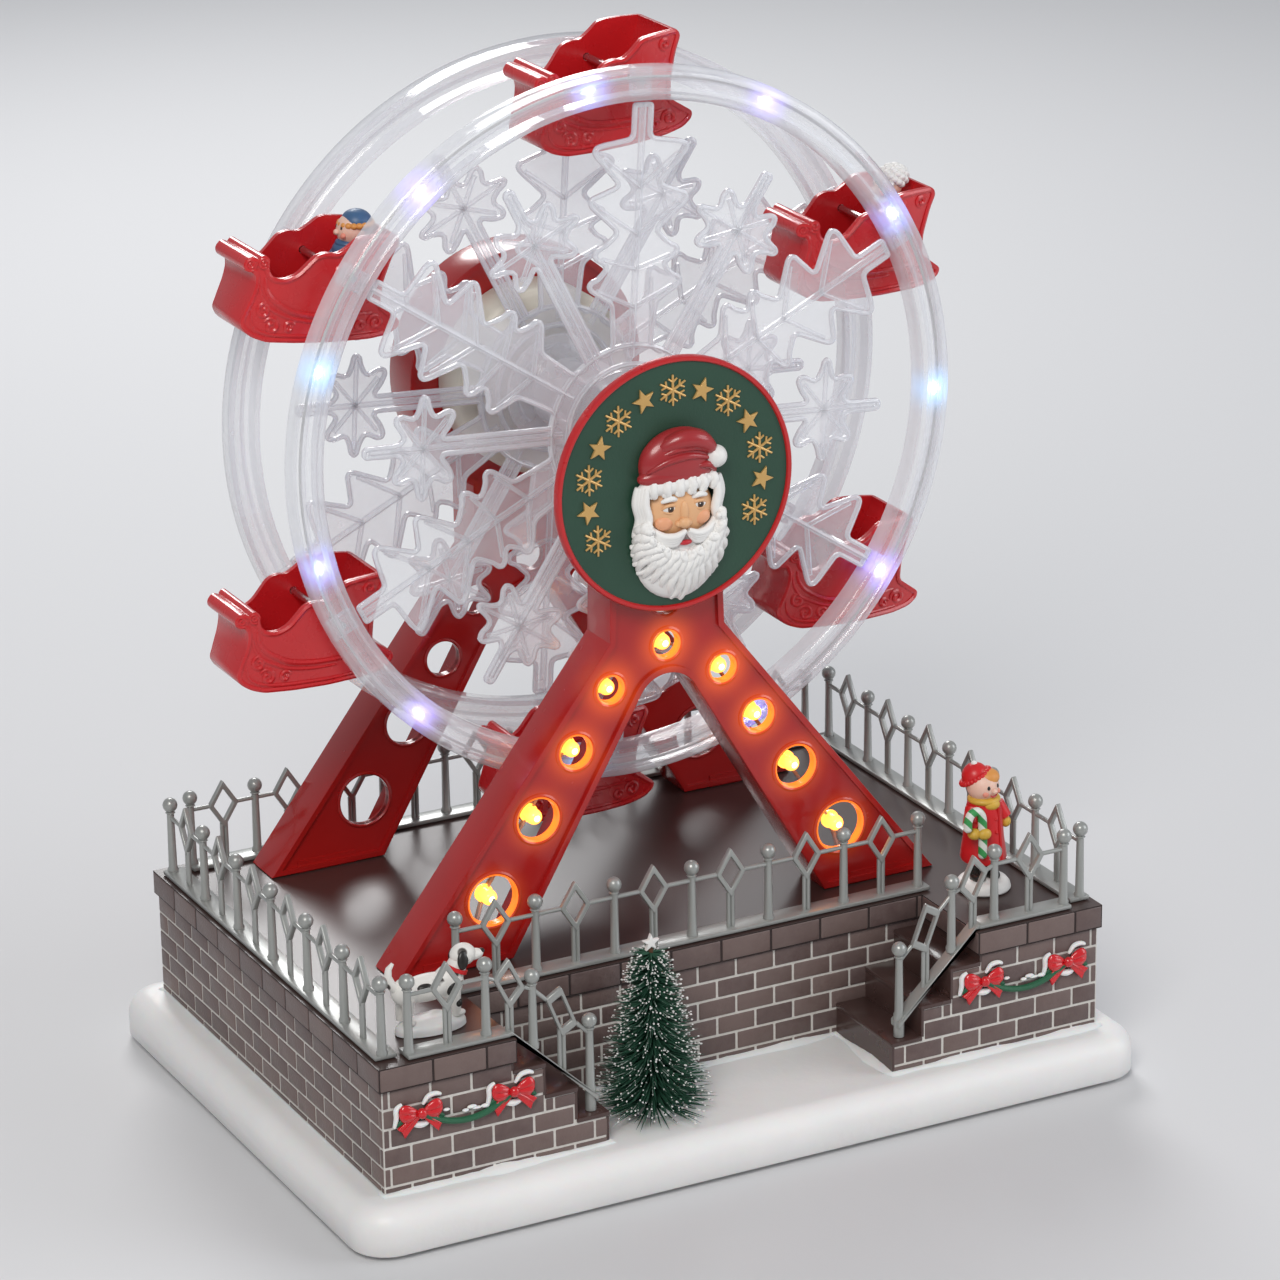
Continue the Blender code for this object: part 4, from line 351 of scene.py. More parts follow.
# Painted glow for the sleeves that line the lamp holes, standing in for the lamps' light on their walls.
AMBER_RIM = glowing("amber_lit_rim", (1.0, 0.20, 0.02), 0.9, (0.8, 0.2, 0.03))
AMBER_CORE = glowing("amber_core", (1.0, 0.70, 0.24), 6.0, (1.0, 0.9, 0.6))
COOL = glowing("cool_glow", (0.28, 0.36, 1.0), 3.2, (0.8, 0.85, 1.0))
COOL_CORE = glowing("cool_core", (0.85, 0.90, 1.0), 12.0, (1.0, 1.0, 1.0))
WIRE = plastic("lamp_wire", (0.45, 0.45, 0.43), 0.4, 0.1)
DECK_BROWN = plastic("deck_brown", (0.062, 0.033, 0.029), 0.3, 0.2, coat=0.3)


# Meshes

def metres(pairs):
    """Pairs of millimetres, in metres."""
    return [(first * MM, second * MM) for first, second in pairs]


def from_bmesh(shape):
    bmesh.ops.recalc_face_normals(shape, faces=shape.faces)
    mesh = bpy.data.meshes.new("shape")
    shape.to_mesh(mesh)
    shape.free()
    return mesh


def baked(piece):
    """The mesh that an object's modifiers or curve give, with the object removed."""
    bpy.context.view_layer.update()
    graph = bpy.context.evaluated_depsgraph_get()
    mesh = bpy.data.meshes.new_from_object(piece.evaluated_get(graph), depsgraph=graph)
    bpy.data.objects.remove(piece)
    return mesh


def temporary(data):
    piece = bpy.data.objects.new("temporary", data)
    bpy.context.scene.collection.objects.link(piece)
    return piece


def cut(mesh, cutters):
    piece = temporary(mesh)
    tools = [temporary(cutter) for cutter in cutters]
    for tool in tools:
        boolean = piece.modifiers.new("cut", "BOOLEAN")
        boolean.operation = "DIFFERENCE"
        boolean.solver = "EXACT"
        boolean.object = tool
    result = baked(piece)
    for tool in tools:
        bpy.data.objects.remove(tool)
    return result


def bevelled(mesh, width, segments=2, angle=40.0):
    piece = temporary(mesh)
    bevel = piece.modifiers.new("round", "BEVEL")
    bevel.width = width
    bevel.segments = segments
    bevel.limit_method = "ANGLE"
    bevel.angle_limit = math.radians(angle)
    return baked(piece)


def block(x, y, z, round_by=0.0):
    shape = bmesh.new()
    bmesh.ops.create_cube(shape, size=1.0)
    bmesh.ops.scale(shape, vec=(x[1] - x[0], y[1] - y[0], z[1] - z[0]), verts=shape.verts)
    middle = Vector((x[0] + x[1], y[0] + y[1], z[0] + z[1])) / 2
    bmesh.ops.translate(shape, vec=middle, verts=shape.verts)
    mesh = from_bmesh(shape)
    return bevelled(mesh, round_by, 2) if round_by else mesh


def rod(start, end, radius, end_radius=None, sides=20):
    start, end = Vector(start), Vector(end)
    turn = (end - start).to_track_quat("Z", "Y").to_matrix().to_4x4()
    shape = bmesh.new()
    bmesh.ops.create_cone(
        shape,
        cap_ends=True,
        segments=sides,
        radius1=radius,
        radius2=radius if end_radius is None else end_radius,
        depth=(end - start).length,
        matrix=Matrix.Translation((start + end) / 2) @ turn,
    )
    return from_bmesh(shape)


def ball(centre, radii, turn=(0.0, 0.0, 0.0), around=28, along=18):
    if not hasattr(radii, "__len__"):
        radii = (radii, radii, radii)
    about_x, about_y, about_z = (Matrix.Rotation(angle, 4, axis) for angle, axis in zip(turn, "XYZ"))
    place = Matrix.Translation(centre) @ (about_z @ about_y @ about_x) @ Matrix.Diagonal((*radii, 1.0))
    shape = bmesh.new()
    bmesh.ops.create_uvsphere(shape, u_segments=around, v_segments=along, radius=1.0, matrix=place)
    return from_bmesh(shape)


def lathe(profile, steps, place=Matrix.Identity(4)):
    """(radius, height) points turned about Z.

    A profile that starts and ends off the axis is closed on itself.
    """
    shape = bmesh.new()
    closed = profile[0][0] > 0 and profile[-1][0] > 0
    rows = []
    for radius, height in profile:
        if radius <= 0:
            rows.append([shape.verts.new((0.0, 0.0, height))])
            continue
        turns = [2 * math.pi * i / steps for i in range(steps)]
        rows.append([shape.verts.new((radius * math.cos(a), radius * math.sin(a), height)) for a in turns])
    pairs = list(zip(rows, rows[1:]))
    if closed:
        pairs.append((rows[-1], rows[0]))
    for low, high in pairs:
        for i in range(steps):
            j = (i + 1) % steps
            corners = [low[i % len(low)], low[j % len(low)], high[j % len(high)], high[i % len(high)]]
            unique = [v for k, v in enumerate(corners) if v not in corners[:k]]
            if len(unique) > 2:
                shape.faces.new(unique)
    mesh = from_bmesh(shape)
    mesh.transform(place)
    return mesh


def facing_back(x, y, z):
    """Turns a shape made about Z so that its top looks along +Y."""
    return Matrix.Translation((x, y, z)) @ Matrix.Rotation(math.radians(-90), 4, "X")


def facing_front(x, y, z):
    return Matrix.Translation((x, y, z)) @ Matrix.Rotation(math.radians(90), 4, "X")


def sheet(outlines, thickness, edge=0.0, place=Matrix.Identity(4)):
    """A flat shape from outlines, in the XY plane, with its edges rounded by edge."""
    curve = bpy.data.curves.new("outline", "CURVE")
    curve.dimensions = "2D"
    curve.fill_mode = "BOTH"
    curve.extrude = thickness / 2 - edge
    curve.bevel_depth = edge
    curve.bevel_resolution = 2
    curve.offset = -edge
    for outline in outlines:
        spline = curve.splines.new("POLY")
        spline.points.add(len(outline) - 1)
        for point, (x, y) in zip(spline.points, outline):
            point.co = (x, y, 0.0, 1.0)
        spline.use_cyclic_u = True
    mesh = baked(temporary(curve))
    mesh.transform(place)
    return mesh


def upright(outlines, y_low, y_high, edge=0.0, x=0.0, z=0.0):
    """A flat shape drawn as (x, z), from one y to another."""
    place = facing_front(x, (y_low + y_high) / 2, z)
    return sheet(outlines, y_high - y_low, edge, place)


def tube(points, radius, closed=False, sides=8, taper=None):
    """A round tube along points. taper gives a share of the radius for each point."""
    curve = bpy.data.curves.new("tube", "CURVE")
    curve.dimensions = "3D"
    curve.bevel_depth = radius
    curve.bevel_resolution = max(0, sides // 4 - 1)
    curve.use_fill_caps = True
    spline = curve.splines.new("POLY")
    spline.points.add(len(points) - 1)
    for i, (point, place) in enumerate(zip(spline.points, points)):
        point.co = (*place, 1.0)
        point.radius = taper[i] if taper else 1.0
    spline.use_cyclic_u = closed
    return baked(temporary(curve))


class Piece:
    """One finished object, gathered from shapes that each have a material."""

    def __init__(self, name):
        self.name = name
        self.shape = bmesh.new()
        self.materials = []

    def add(self, mesh, material, place=None):
        if place is not None:
            mesh = mesh.copy()
            mesh.transform(place)
            if place.determinant() < 0:
                mesh.flip_normals()
        if material not in self.materials:
            self.materials.append(material)
        index = self.materials.index(material)
        start = len(self.shape.faces)
        self.shape.from_mesh(mesh)
        self.shape.faces.ensure_lookup_table()
        for face in self.shape.faces[start:]:
            face.material_index = index
            face.smooth = True

    def mesh(self):
        mesh = bpy.data.meshes.new(self.name)
        self.shape.to_mesh(mesh)
        self.shape.free()
        return mesh

    def done(self, body, replaced=(), sharp=38.0):
        mesh = self.mesh()
        for material in self.materials:
            mesh.materials.append(material)
        mesh.set_sharp_from_angle(angle=math.radians(sharp))
        finished(self.name, mesh, body, replaced)


def modeller(piece, at, place=None, paint=None):
    """Two functions that add balls and limbs to a figure, at the places that at gives for millimetres."""

    def lump(x, y, z, radii, material=paint, turn=(0.0, 0.0, 0.0)):
        piece.add(ball(at(x, y, z), [r * MM for r in radii], turn), material, place)

    def limb(start, end, start_radius, end_radius, material=paint):
        piece.add(rod(at(*start), at(*end), start_radius * MM, end_radius * MM), material, place)

    return lump, limb


def finished(name, mesh, body, replaced=()):
    piece = bpy.data.objects.new(name, mesh)
    bpy.context.scene.collection.objects.link(piece)
    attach(piece, body)
    if replaced:
        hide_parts(*replaced)


def scatter(template, places, extra):
    """One mesh of a template repeated by Geometry Nodes.

    places are (position, Euler turn, size) and extra a name with one number for each place.
    """
    points = bpy.data.meshes.new("points")
    points.from_pydata([place[0] for place in places], [], [])
    for name, column in (("turn", 1), ("size", 2)):
        attribute = points.attributes.new(name, "FLOAT_VECTOR", "POINT")
        attribute.data.foreach_set("vector", [c for place in places for c in place[column]])
    label, numbers = extra
    points.attributes.new(label, "FLOAT", "POINT").data.foreach_set("value", numbers)
    group = bpy.data.node_groups.new("repeat", "GeometryNodeTree")
    interface = group.interface
    interface.new_socket("Geometry", in_out="INPUT", socket_type="NodeSocketGeometry")
    template_input = interface.new_socket("Template", in_out="INPUT", socket_type="NodeSocketObject")
    interface.new_socket("Geometry", in_out="OUTPUT", socket_type="NodeSocketGeometry")
    nodes, links = group.nodes, group.links
    entry = nodes.new("NodeGroupInput")
    leave = nodes.new("NodeGroupOutput")
    info = nodes.new("GeometryNodeObjectInfo")
    repeat = nodes.new("GeometryNodeInstanceOnPoints")
    realise = nodes.new("GeometryNodeRealizeInstances")
    for name, socket in (("turn", "Rotation"), ("size", "Scale")):
        read = nodes.new("GeometryNodeInputNamedAttribute")
        read.data_type = "FLOAT_VECTOR"
        read.inputs["Name"].default_value = name
        links.new(read.outputs[0], repeat.inputs[socket])
    links.new(entry.outputs[0], repeat.inputs["Points"])
    links.new(entry.outputs[1], info.inputs["Object"])
    links.new(info.outputs["Geometry"], repeat.inputs["Instance"])
    links.new(repeat.outputs[0], realise.inputs[0])
    links.new(realise.outputs[0], leave.inputs[0])
    piece = temporary(points)
    source = temporary(template)
    modifier = piece.modifiers.new("repeat", "NODES")
    modifier.node_group = group
    modifier[template_input.identifier] = source
    mesh = baked(piece)
    bpy.data.objects.remove(source)
    return mesh


def arc(centre, radius, start, end, count):
    angles = [start + (end - start) * i / (count - 1) for i in range(count)]
    return [(centre[0] + radius * math.cos(a), centre[1] + radius * math.sin(a)) for a in angles]


def circle(centre, radius, count=48):
    return arc(centre, radius, 0.0, 2 * math.pi * (count - 1) / count, count)


def rounded(outline, radius, count=4):
    """A closed outline with each corner rounded by up to a radius."""
    result = []
    for i, point in enumerate(outline):
        here = Vector(point)
        before = Vector(outline[i - 1]) - here
        after = Vector(outline[(i + 1) % len(outline)]) - here
        reach = min(radius, 0.45 * before.length, 0.45 * after.length)
        start = here + before.normalized() * reach
        end = here + after.normalized() * reach
        for k in range(count + 1):
            t = k / count
            result.append(tuple(start * (1 - t) ** 2 + here * 2 * t * (1 - t) + end * t ** 2))
    return result


def inset(outline, distance):
    """A closed anticlockwise outline, moved inwards by a distance."""
    result = []
    for i, point in enumerate(outline):
        here = Vector(point)
        first = (here - Vector(outline[i - 1])).normalized()
        second = (Vector(outline[(i + 1) % len(outline)]) - here).normalized()
        inward = Vector((-first.y, first.x)) + Vector((-second.y, second.x))
        inward.normalize()
        slant = max(inward.dot(Vector((-first.y, first.x))), 0.5)
        result.append(tuple(here + inward * distance / slant))
    return result


def mirror_outline(half):
    return half + [(-x, z) for x, z in reversed(half) if x > 0.01 * MM]


def spiral(centre, radius, start, turns, count=22, shrink=0.18):
    """Points of a scroll that winds in towards its centre."""
    points = []
    for i in range(count):
        t = i / (count - 1)
        angle = start + turns * 2 * math.pi * t
        reach = radius * (1 - t) + radius * shrink * t
        points.append((centre[0] + reach * math.cos(angle), centre[1] + reach * math.sin(angle)))
    return points


def flowing(points, count=6):
    """A smooth line through some points, of any number of axes."""
    points = [Vector(point) for point in points]
    line = []
    for i in range(len(points) - 1):
        before, start = points[max(i - 1, 0)], points[i]
        end, after = points[i + 1], points[min(i + 2, len(points) - 1)]
        for k in range(count):
            t = k / count
            square = (2 * before - 5 * start + 4 * end - after) * t ** 2
            cube = (3 * start - before - 3 * end + after) * t ** 3
            bend = square + cube
            line.append(tuple(start + ((end - before) * t + bend) / 2))
    line.append(tuple(points[-1]))
    return line


def swell(count, ends=0.35, middle=1.0):
    """Shares of a radius that grow from each end of a line to its middle."""
    return [ends + (middle - ends) * math.sin(math.pi * i / (count - 1)) ** 0.7 for i in range(count)]


# Base and brickwork

def snow_ground():
    """The snow slab, its drifts along the foot of the wall and the snow on the ground before it."""
    piece = Piece("snow_ground")
    half_x, half_y = 120.5 * MM, 86.5 * MM
    rounding = 6.5 * MM
    shape = bmesh.new()
    low = 1.5 * MM

    def ring(edge):
        """The slab's outline, edge metres inside its widest line."""
        x, y, corner = half_x - edge, half_y - edge, 11.0 * MM - min(edge, 9.0 * MM)
        points = []
        for sx, sy, start in ((1, 1, 0.0), (-1, 1, 90.0), (-1, -1, 180.0), (1, -1, 270.0)):
            centre = (sx * (x - corner), sy * (y - corner))
            first = math.radians(start)
            points += arc(centre, corner, first, first + math.pi / 2, 9)
        return points

    levels = [(0.6 * MM, low), (0.0, low + 0.6 * MM)]
    for i in range(9):
        angle = math.pi / 2 * i / 8
        levels.append((rounding * (1 - math.cos(angle)), SNOW_TOP - rounding * (1 - math.sin(angle))))
    loops = []
    for edge, z in levels:
        loops.append([shape.verts.new((x, y, z)) for x, y in ring(edge)])
    for under, over in zip(loops, loops[1:]):
        for i in range(len(under)):
            j = (i + 1) % len(under)
            shape.faces.new((under[i], under[j], over[j], over[i]))
    shape.faces.new(loops[-1])
    inner = [shape.verts.new((v.co.x * 0.972, v.co.y * 0.962, low)) for v in loops[0]]
    roof = [shape.verts.new((v.co.x, v.co.y, low + 4 * MM)) for v in inner]
    for outer_loop, inner_loop in ((loops[0], inner), (inner, roof)):
        for i in range(len(inner)):
            j = (i + 1) % len(inner)
            shape.faces.new((outer_loop[j], outer_loop[i], inner_loop[i], inner_loop[j]))
    shape.faces.new(list(reversed(roof)))
    piece.add(from_bmesh(shape), SNOW)
    step = RECESS_X - 3 * STEP_RUN
    front, recess = -BRICK_BACK, RECESS_Y
    path = [
        (-step, recess), (step, recess), (step, front), (BRICK_RIGHT, front), (BRICK_RIGHT, BRICK_BACK),
        (-BRICK_RIGHT, BRICK_BACK), (-BRICK_RIGHT, front), (-step, front),
    ]
    piece.add(drift(path), SNOW)
    piece.done("base", ["snow_base"], 60)


def drift(path):
    """A low uneven bank of snow along the outside of a closed anticlockwise path."""
    shape = bmesh.new()
    dense = []
    for i, start in enumerate(path):
        end = path[(i + 1) % len(path)]
        start, end = Vector(start), Vector(end)
        count = max(3, int((end - start).length / (2.2 * MM)))
        out = Vector(((end - start).y, -(end - start).x)).normalized()
        for k in range(count):
            dense.append((start + (end - start) * k / count, out))
    rows = []
    for i, (point, out) in enumerate(dense):
        before = dense[i - 1][1]
        following = dense[(i + 1) % len(dense)][1]
        out = (out + before + following).normalized()
        wave = noise.noise(Vector((point.x, point.y, 0.0)) * 60)
        fine = noise.noise(Vector((point.x, point.y, 3.0)) * 260)
        share = 0.12 if out.x < -0.9 and point.x < 0 else 1.0
        width = (2.3 + 1.5 * wave + 0.5 * fine) * MM * share
        tall = (1.0 + 0.9 * wave + 0.4 * fine) * MM * share
        wall = point - out * 1.0 * MM
        profile = [
            (wall, SNOW_TOP - 0.4 * MM),
            (wall, SNOW_TOP + tall),
            (point + out * width * 0.3, SNOW_TOP + tall * 0.9),
            (point + out * width * 0.7, SNOW_TOP + tall * 0.45),
            (point + out * width, SNOW_TOP - 0.3 * MM),
        ]
        rows.append([shape.verts.new((p.x, p.y, z)) for p, z in profile])
    for i, row in enumerate(rows):
        following = rows[(i + 1) % len(rows)]
        for k in range(len(row)):
            m = (k + 1) % len(row)
            shape.faces.new((row[k], row[m], following[m], following[k]))
    return from_bmesh(shape)


LEAST_COURSE = 0.8 * MM


def bricks():
    """Every brick of the walls, the stairs and the cap, a little proud of the mortar."""
    chooser = random.Random(7)
    long, tall, deep = 11.3 * MM, 4.9 * MM, 1.5 * MM
    template = block((-long / 2, long / 2), (-deep / 2, deep / 2), (-tall / 2, tall / 2), 0.28 * MM)
    places = []

    def lay(start, end, low, high, course, pitch, joint, proud, phase=0.0):
        """Bricks over a wall that runs from start to end, with its outer face on the right."""
        start, end = Vector(start), Vector(end)
        along = (end - start).normalized()
        out = Vector((along.y, -along.x))
        length = (end - start).length
        turn = math.atan2(along.y, along.x)
        row, top = 0, high
        while top > low + LEAST_COURSE:
            bottom = max(top - course, low)
            offset = (pitch / 2 if row % 2 else 0.0) + phase
            begin = -(offset % pitch)
            while begin < length:
                first, last = max(begin, 0.0), min(begin + pitch, length)
                begin += pitch
                size_x = (last - first) - joint
                size_z = (top - bottom) - joint
                if size_x < 1.0 * MM or size_z < 0.7 * MM:
                    continue
                middle = start + along * (first + last) / 2 + out * (proud - deep / 2)
                jitter = chooser.uniform(-0.05, 0.05) * MM
                centre = (middle.x + out.x * jitter, middle.y + out.y * jitter, (top + bottom) / 2)
                places.append((centre, (0.0, 0.0, turn), (size_x / long, 1.0, size_z / tall)))
            top -= course
            row += 1

    def lay_wing(side):
        """The front of a wing and of the stair beside it, in courses that run on from one to the other."""
        zones = []
        for i in (2, 1, 0):
            tread = DECK - (i + 1) * STEP_RISE
            zones.append((RECESS_X - (i + 1) * STEP_RUN, RECESS_X - i * STEP_RUN, tread - 1.1 * MM))
        zones.append((RECESS_X, BRICK_RIGHT, CAP_BOTTOM))
        row, top = 0, CAP_BOTTOM
        while top > low + LEAST_COURSE:
            bottom = max(top - course, low)
            spans = []
            for start, end, roof in zones:
                reach = min(top, roof)
                if spans and spans[-1][2] == reach:
                    spans[-1] = (spans[-1][0], end, reach)
                else:
                    spans.append((start, end, reach))
            for start, end, reach in spans:
                if reach > bottom + LEAST_COURSE:
                    left, right_end = (start, end) if side > 0 else (-end, -start)
                    shift = left + (pitch / 2 if row % 2 else 0.0)
                    lay((left, front), (right_end, front), bottom, reach, course, pitch, joint, proud, shift)
            top -= course
            row += 1

    low = SNOW_TOP + 0.4 * MM
    course, pitch, joint, proud = body = (5.6 * MM, 12.0 * MM, 0.7 * MM, 0.25 * MM)
    front, back, right, recess = -BRICK_BACK, BRICK_BACK, BRICK_RIGHT, RECESS_Y
    lay((right, front), (right, back), low, CAP_BOTTOM, *body)
    lay((right, back), (-right, back), low, CAP_BOTTOM, *body)
    lay((-right, back), (-right, front), low, CAP_BOTTOM, *body)
    lay((-RECESS_X, recess), (RECESS_X, recess), low, CAP_BOTTOM, *body)
    lay_wing(-1)
    lay_wing(1)
    cap = (6.8 * MM, 15.6 * MM, 0.55 * MM, 0.2 * MM)
    edge = 1.0 * MM
    outer = [
        (right + edge, front - edge), (right + edge, back + edge), (-right - edge, back + edge),
        (-right - edge, front - edge), (-RECESS_X + edge, front - edge), (-RECESS_X + edge, recess - edge),
        (RECESS_X - edge, recess - edge), (RECESS_X - edge, front - edge), (right + edge, front - edge),
    ]
    for first, second in zip(outer, outer[1:]):
        lay(first, second, CAP_BOTTOM, DECK - 0.05 * MM, *cap)
    shades = [chooser.random() for _ in places]
    mesh = scatter(template, places, ("shade", shades))
    mesh.materials.clear()
    mesh.materials.append(BRICK)
    mesh.shade_smooth()
    mesh.set_sharp_from_angle(angle=math.radians(50))
    finished("bricks", mesh, "base")


def paving():
    """Plain dark slabs on the treads and the risers of the stairs."""
    piece = Piece("paving")
    for side in (-1, 1):
        for i in range(-1, 3):
            far = RECESS_X - (i + 1) * STEP_RUN
            near = RECESS_X - i * STEP_RUN
            tread = DECK - (i + 1) * STEP_RISE
            if i >= 0:
                x = sorted((side * (far - 0.5 * MM), side * near))
                depth = (-BRICK_BACK - 0.5 * MM, RECESS_Y)
                piece.add(block(x, depth, (tread - 1.2 * MM, tread + 0.15 * MM), 0.35 * MM), DECK_BROWN)
            foot = SNOW_TOP if i == 2 else tread - STEP_RISE
            x = sorted((side * (far - 0.25 * MM), side * (far + 0.5 * MM)))
            top = CAP_BOTTOM if i < 0 else tread - 1.0 * MM
            piece.add(block(x, (-BRICK_BACK - 0.2 * MM, RECESS_Y), (foot, top)), DECK_BROWN)
    piece.done("base")


# Fences

FENCE_LINE = 2.6 * MM
STRIP_WIDTH = 6.4 * MM
STRIP_LOW = FENCE_FOOT - 1.2 * MM
WALL_OVERLAP = 0.2 * MM
ROD_RADIUS = 0.62 * MM
KNOB_RADIUS = 2.15 * MM


def post_shape():
    profile = [
        (0.0, -0.8 * MM), (1.5 * MM, -0.8 * MM), (1.6 * MM, 0.6 * MM), (1.25 * MM, 1.2 * MM),
        (1.05 * MM, FENCE_HEIGHT - 3.4 * MM), (1.05 * MM, FENCE_HEIGHT - 2.6 * MM),
        (1.45 * MM, FENCE_HEIGHT - 2.3 * MM), (1.0 * MM, FENCE_HEIGHT - 1.9 * MM),
    ]
    for i in range(1, 8):
        angle = math.pi * i / 8 - math.pi / 2
        profile.append((KNOB_RADIUS * math.cos(angle), FENCE_HEIGHT + KNOB_RADIUS * math.sin(angle)))
    profile.append((0.0, FENCE_HEIGHT + KNOB_RADIUS))
    return lathe(profile, 16)


def picket_shape():
    """A diamond on two thin rods, in the XZ plane, its waist at the rail's height."""
    foot = -0.4 * MM
    half_w, half_h = 4.6 * MM, 7.3 * MM
    outline = [(0.0, -half_h), (half_w, 0.0), (0.0, half_h), (-half_w, 0.0)]
    hole = [(x * 0.66, z * 0.66) for x, z in outline]
    picket = Piece("picket")
    loops = [rounded(outline, 0.5 * MM, 2), rounded(hole, 0.3 * MM, 2)]
    picket.add(upright(loops, -0.8 * MM, 0.8 * MM, 0.3 * MM, z=RAIL_LIFT), FENCE)
    for side in (-1, 1):
        x = side * ROD_RADIUS
        picket.add(rod((x, 0.0, foot), (x, 0.0, RAIL_LIFT - half_h + 1.4 * MM), ROD_RADIUS, sides=10), FENCE)
    return picket.mesh()


POST = post_shape()
PICKET = picket_shape()


def fence(name, place, stations, ground, strips):
    """A fence along the X axis, then put in place."""
    piece = Piece(name)
    for x in stations:
        piece.add(POST, FENCE, place @ Matrix.Translation((x, 0.0, ground(x))))
    for first, second in zip(stations, stations[1:]):
        middle = (first + second) / 2
        z1, z2 = ground(first), ground(second)
        slope = (z2 - z1) / (second - first)
        lean = Matrix.Identity(4)
        lean[2][0] = slope
        base = (z1 + z2) / 2
        piece.add(PICKET, FENCE, place @ Matrix.Translation((middle, 0.0, base)) @ lean)
        if abs(ground(middle) - base) > 0.1 * MM:
            foot = (middle, 0.0, min(base, ground(middle)) - 0.4 * MM)
            piece.add(rod(foot, (middle, 0.0, base + 2 * MM), 1.0 * MM, sides=12), FENCE, place)
        reach = 4.4 * MM
        for start, end in ((first, middle - reach), (middle + reach, second)):
            lift = [base + (x - middle) * slope + RAIL_LIFT for x in (start, end)]
            piece.add(rod((start, 0.0, lift[0]), (end, 0.0, lift[1]), ROD_RADIUS, sides=10), FENCE, place)
    for strip in strips:
        piece.add(strip, FENCE, place)
    piece.done("base", [name.replace("silver_", "")])


def strip_along(start, end):
    """The flat strip that a level fence stands on."""
    return block((start, end), (-FENCE_LINE, STRIP_WIDTH - FENCE_LINE), (STRIP_LOW, FENCE_FOOT), 0.3 * MM)


def level_fence(name, length, bays, turn, past, offset):
    stations = [length * (i / bays - 0.5) for i in range(bays + 1)]
    reach = length / 2 + past
    place = Matrix.Translation(offset) @ Matrix.Rotation(math.radians(turn), 4, "Z")
    fence(name, place, stations, lambda x: FENCE_FOOT, [strip_along(-reach, reach)])


def fences():
    inwards = WALL_OVERLAP + FENCE_LINE
    side_x, back_y, recess_y = BRICK_RIGHT - inwards, BRICK_BACK - inwards, RECESS_Y + inwards
    depth, past = 142 * MM, 1.3 * MM
    level_fence("silver_fence_right", depth, 6, 90, past, (side_x, 0, 0))
    level_fence("silver_fence_left", depth, 6, -90, past, (-side_x, 0, 0))
    level_fence("silver_fence_back", 2 * (side_x - 7 * MM), 10, 180, past, (0, back_y, 0))
    level_fence("silver_fence_front", 143.6 * MM, 6, 0, 2 * past, (0, recess_y, 0))
    bend = RECESS_X
    slope = STEP_RISE / STEP_RUN
    run = 3 * STEP_RUN - 2.3 * MM
    lift = 1.4 * MM

    def ground(x):
        return FENCE_FOOT - max(0.0, bend + x - lift) * slope

    stations = [-100.5 * MM, -78.0 * MM, -(bend - 0.3 * run), -(bend - run + 1.3 * MM)]
    flat = strip_along(-101.8 * MM, -bend)
    fallen = FENCE_FOOT - (run - lift) * slope
    points = [
        (-bend - MM, STRIP_LOW), (-bend + 1.2 * MM, STRIP_LOW), (run - bend, fallen - 1.7 * MM),
        (run - bend, fallen), (0.5 * MM - bend, FENCE_FOOT), (-bend - MM, FENCE_FOOT),
    ]
    slant = upright([points], -FENCE_LINE + 0.3 * MM, 4.8 * MM - FENCE_LINE, 0.2 * MM)
    last = stations[-1]
    foot = rod((last, 0.0, DECK - 3 * STEP_RISE + 0.4 * MM), (last, 0.0, ground(last)), 1.5 * MM, sides=16)
    place = Matrix.Translation((0.0, -BRICK_BACK + inwards, 0.0))
    fence("silver_fence_stair_left", place, stations, ground, [flat, slant, foot])
    mirror = Matrix.Scale(-1, 4, Vector((1, 0, 0)))
    fence("silver_fence_stair_right", place @ mirror, stations, ground, [flat, slant, foot])


# A-frames, drawn from the deck upwards

LEG_OUTER_FOOT = 84.2 * MM
LEG_INNER_FOOT = 49.0 * MM
LEG_APEX = 83.7 * MM
NECK_HALF_WIDTH = 17.5 * MM
NECK_HEIGHT = 86.0 * MM
HEAD_HEIGHT = 138.2 * MM
FRAME_DEPTH = 14.0 * MM


def leg_outer(z):
    return LEG_OUTER_FOOT - (LEG_OUTER_FOOT - NECK_HALF_WIDTH) * z / NECK_HEIGHT


def leg_inner(z):
    return LEG_INNER_FOOT * (1 - z / LEG_APEX)


LAMPS = [(0.0, 82.5 * MM, 4.3 * MM)]
for lamp_z, lamp_r in ((72.5, 4.3), (56.5, 5.1), (39.1, 6.5), (18.3, 7.6)):
    lamp_x = (leg_outer(lamp_z * MM) + leg_inner(lamp_z * MM)) / 2
    LAMPS += [(side * lamp_x, lamp_z * MM, lamp_r * MM) for side in (-1, 1)]


def frame_outline(head):
    lean = math.atan2(LEG_INNER_FOOT, LEG_APEX)
    crotch_drop, low = 9.3 * MM, 0.3 * MM
    radius = crotch_drop * math.sin(lean) / (1 - math.sin(lean))
    half = arc((0.0, LEG_APEX - crotch_drop - radius), radius, math.pi / 2, lean, 10)
    half += [(leg_inner(low), low), (leg_outer(low), low), (NECK_HALF_WIDTH, NECK_HEIGHT)]
    shoulder = math.asin(min(1.0, NECK_HALF_WIDTH / head))
    half += arc((0.0, HEAD_HEIGHT), head, shoulder - math.pi / 2, math.pi / 2, 40)
    return mirror_outline(half)


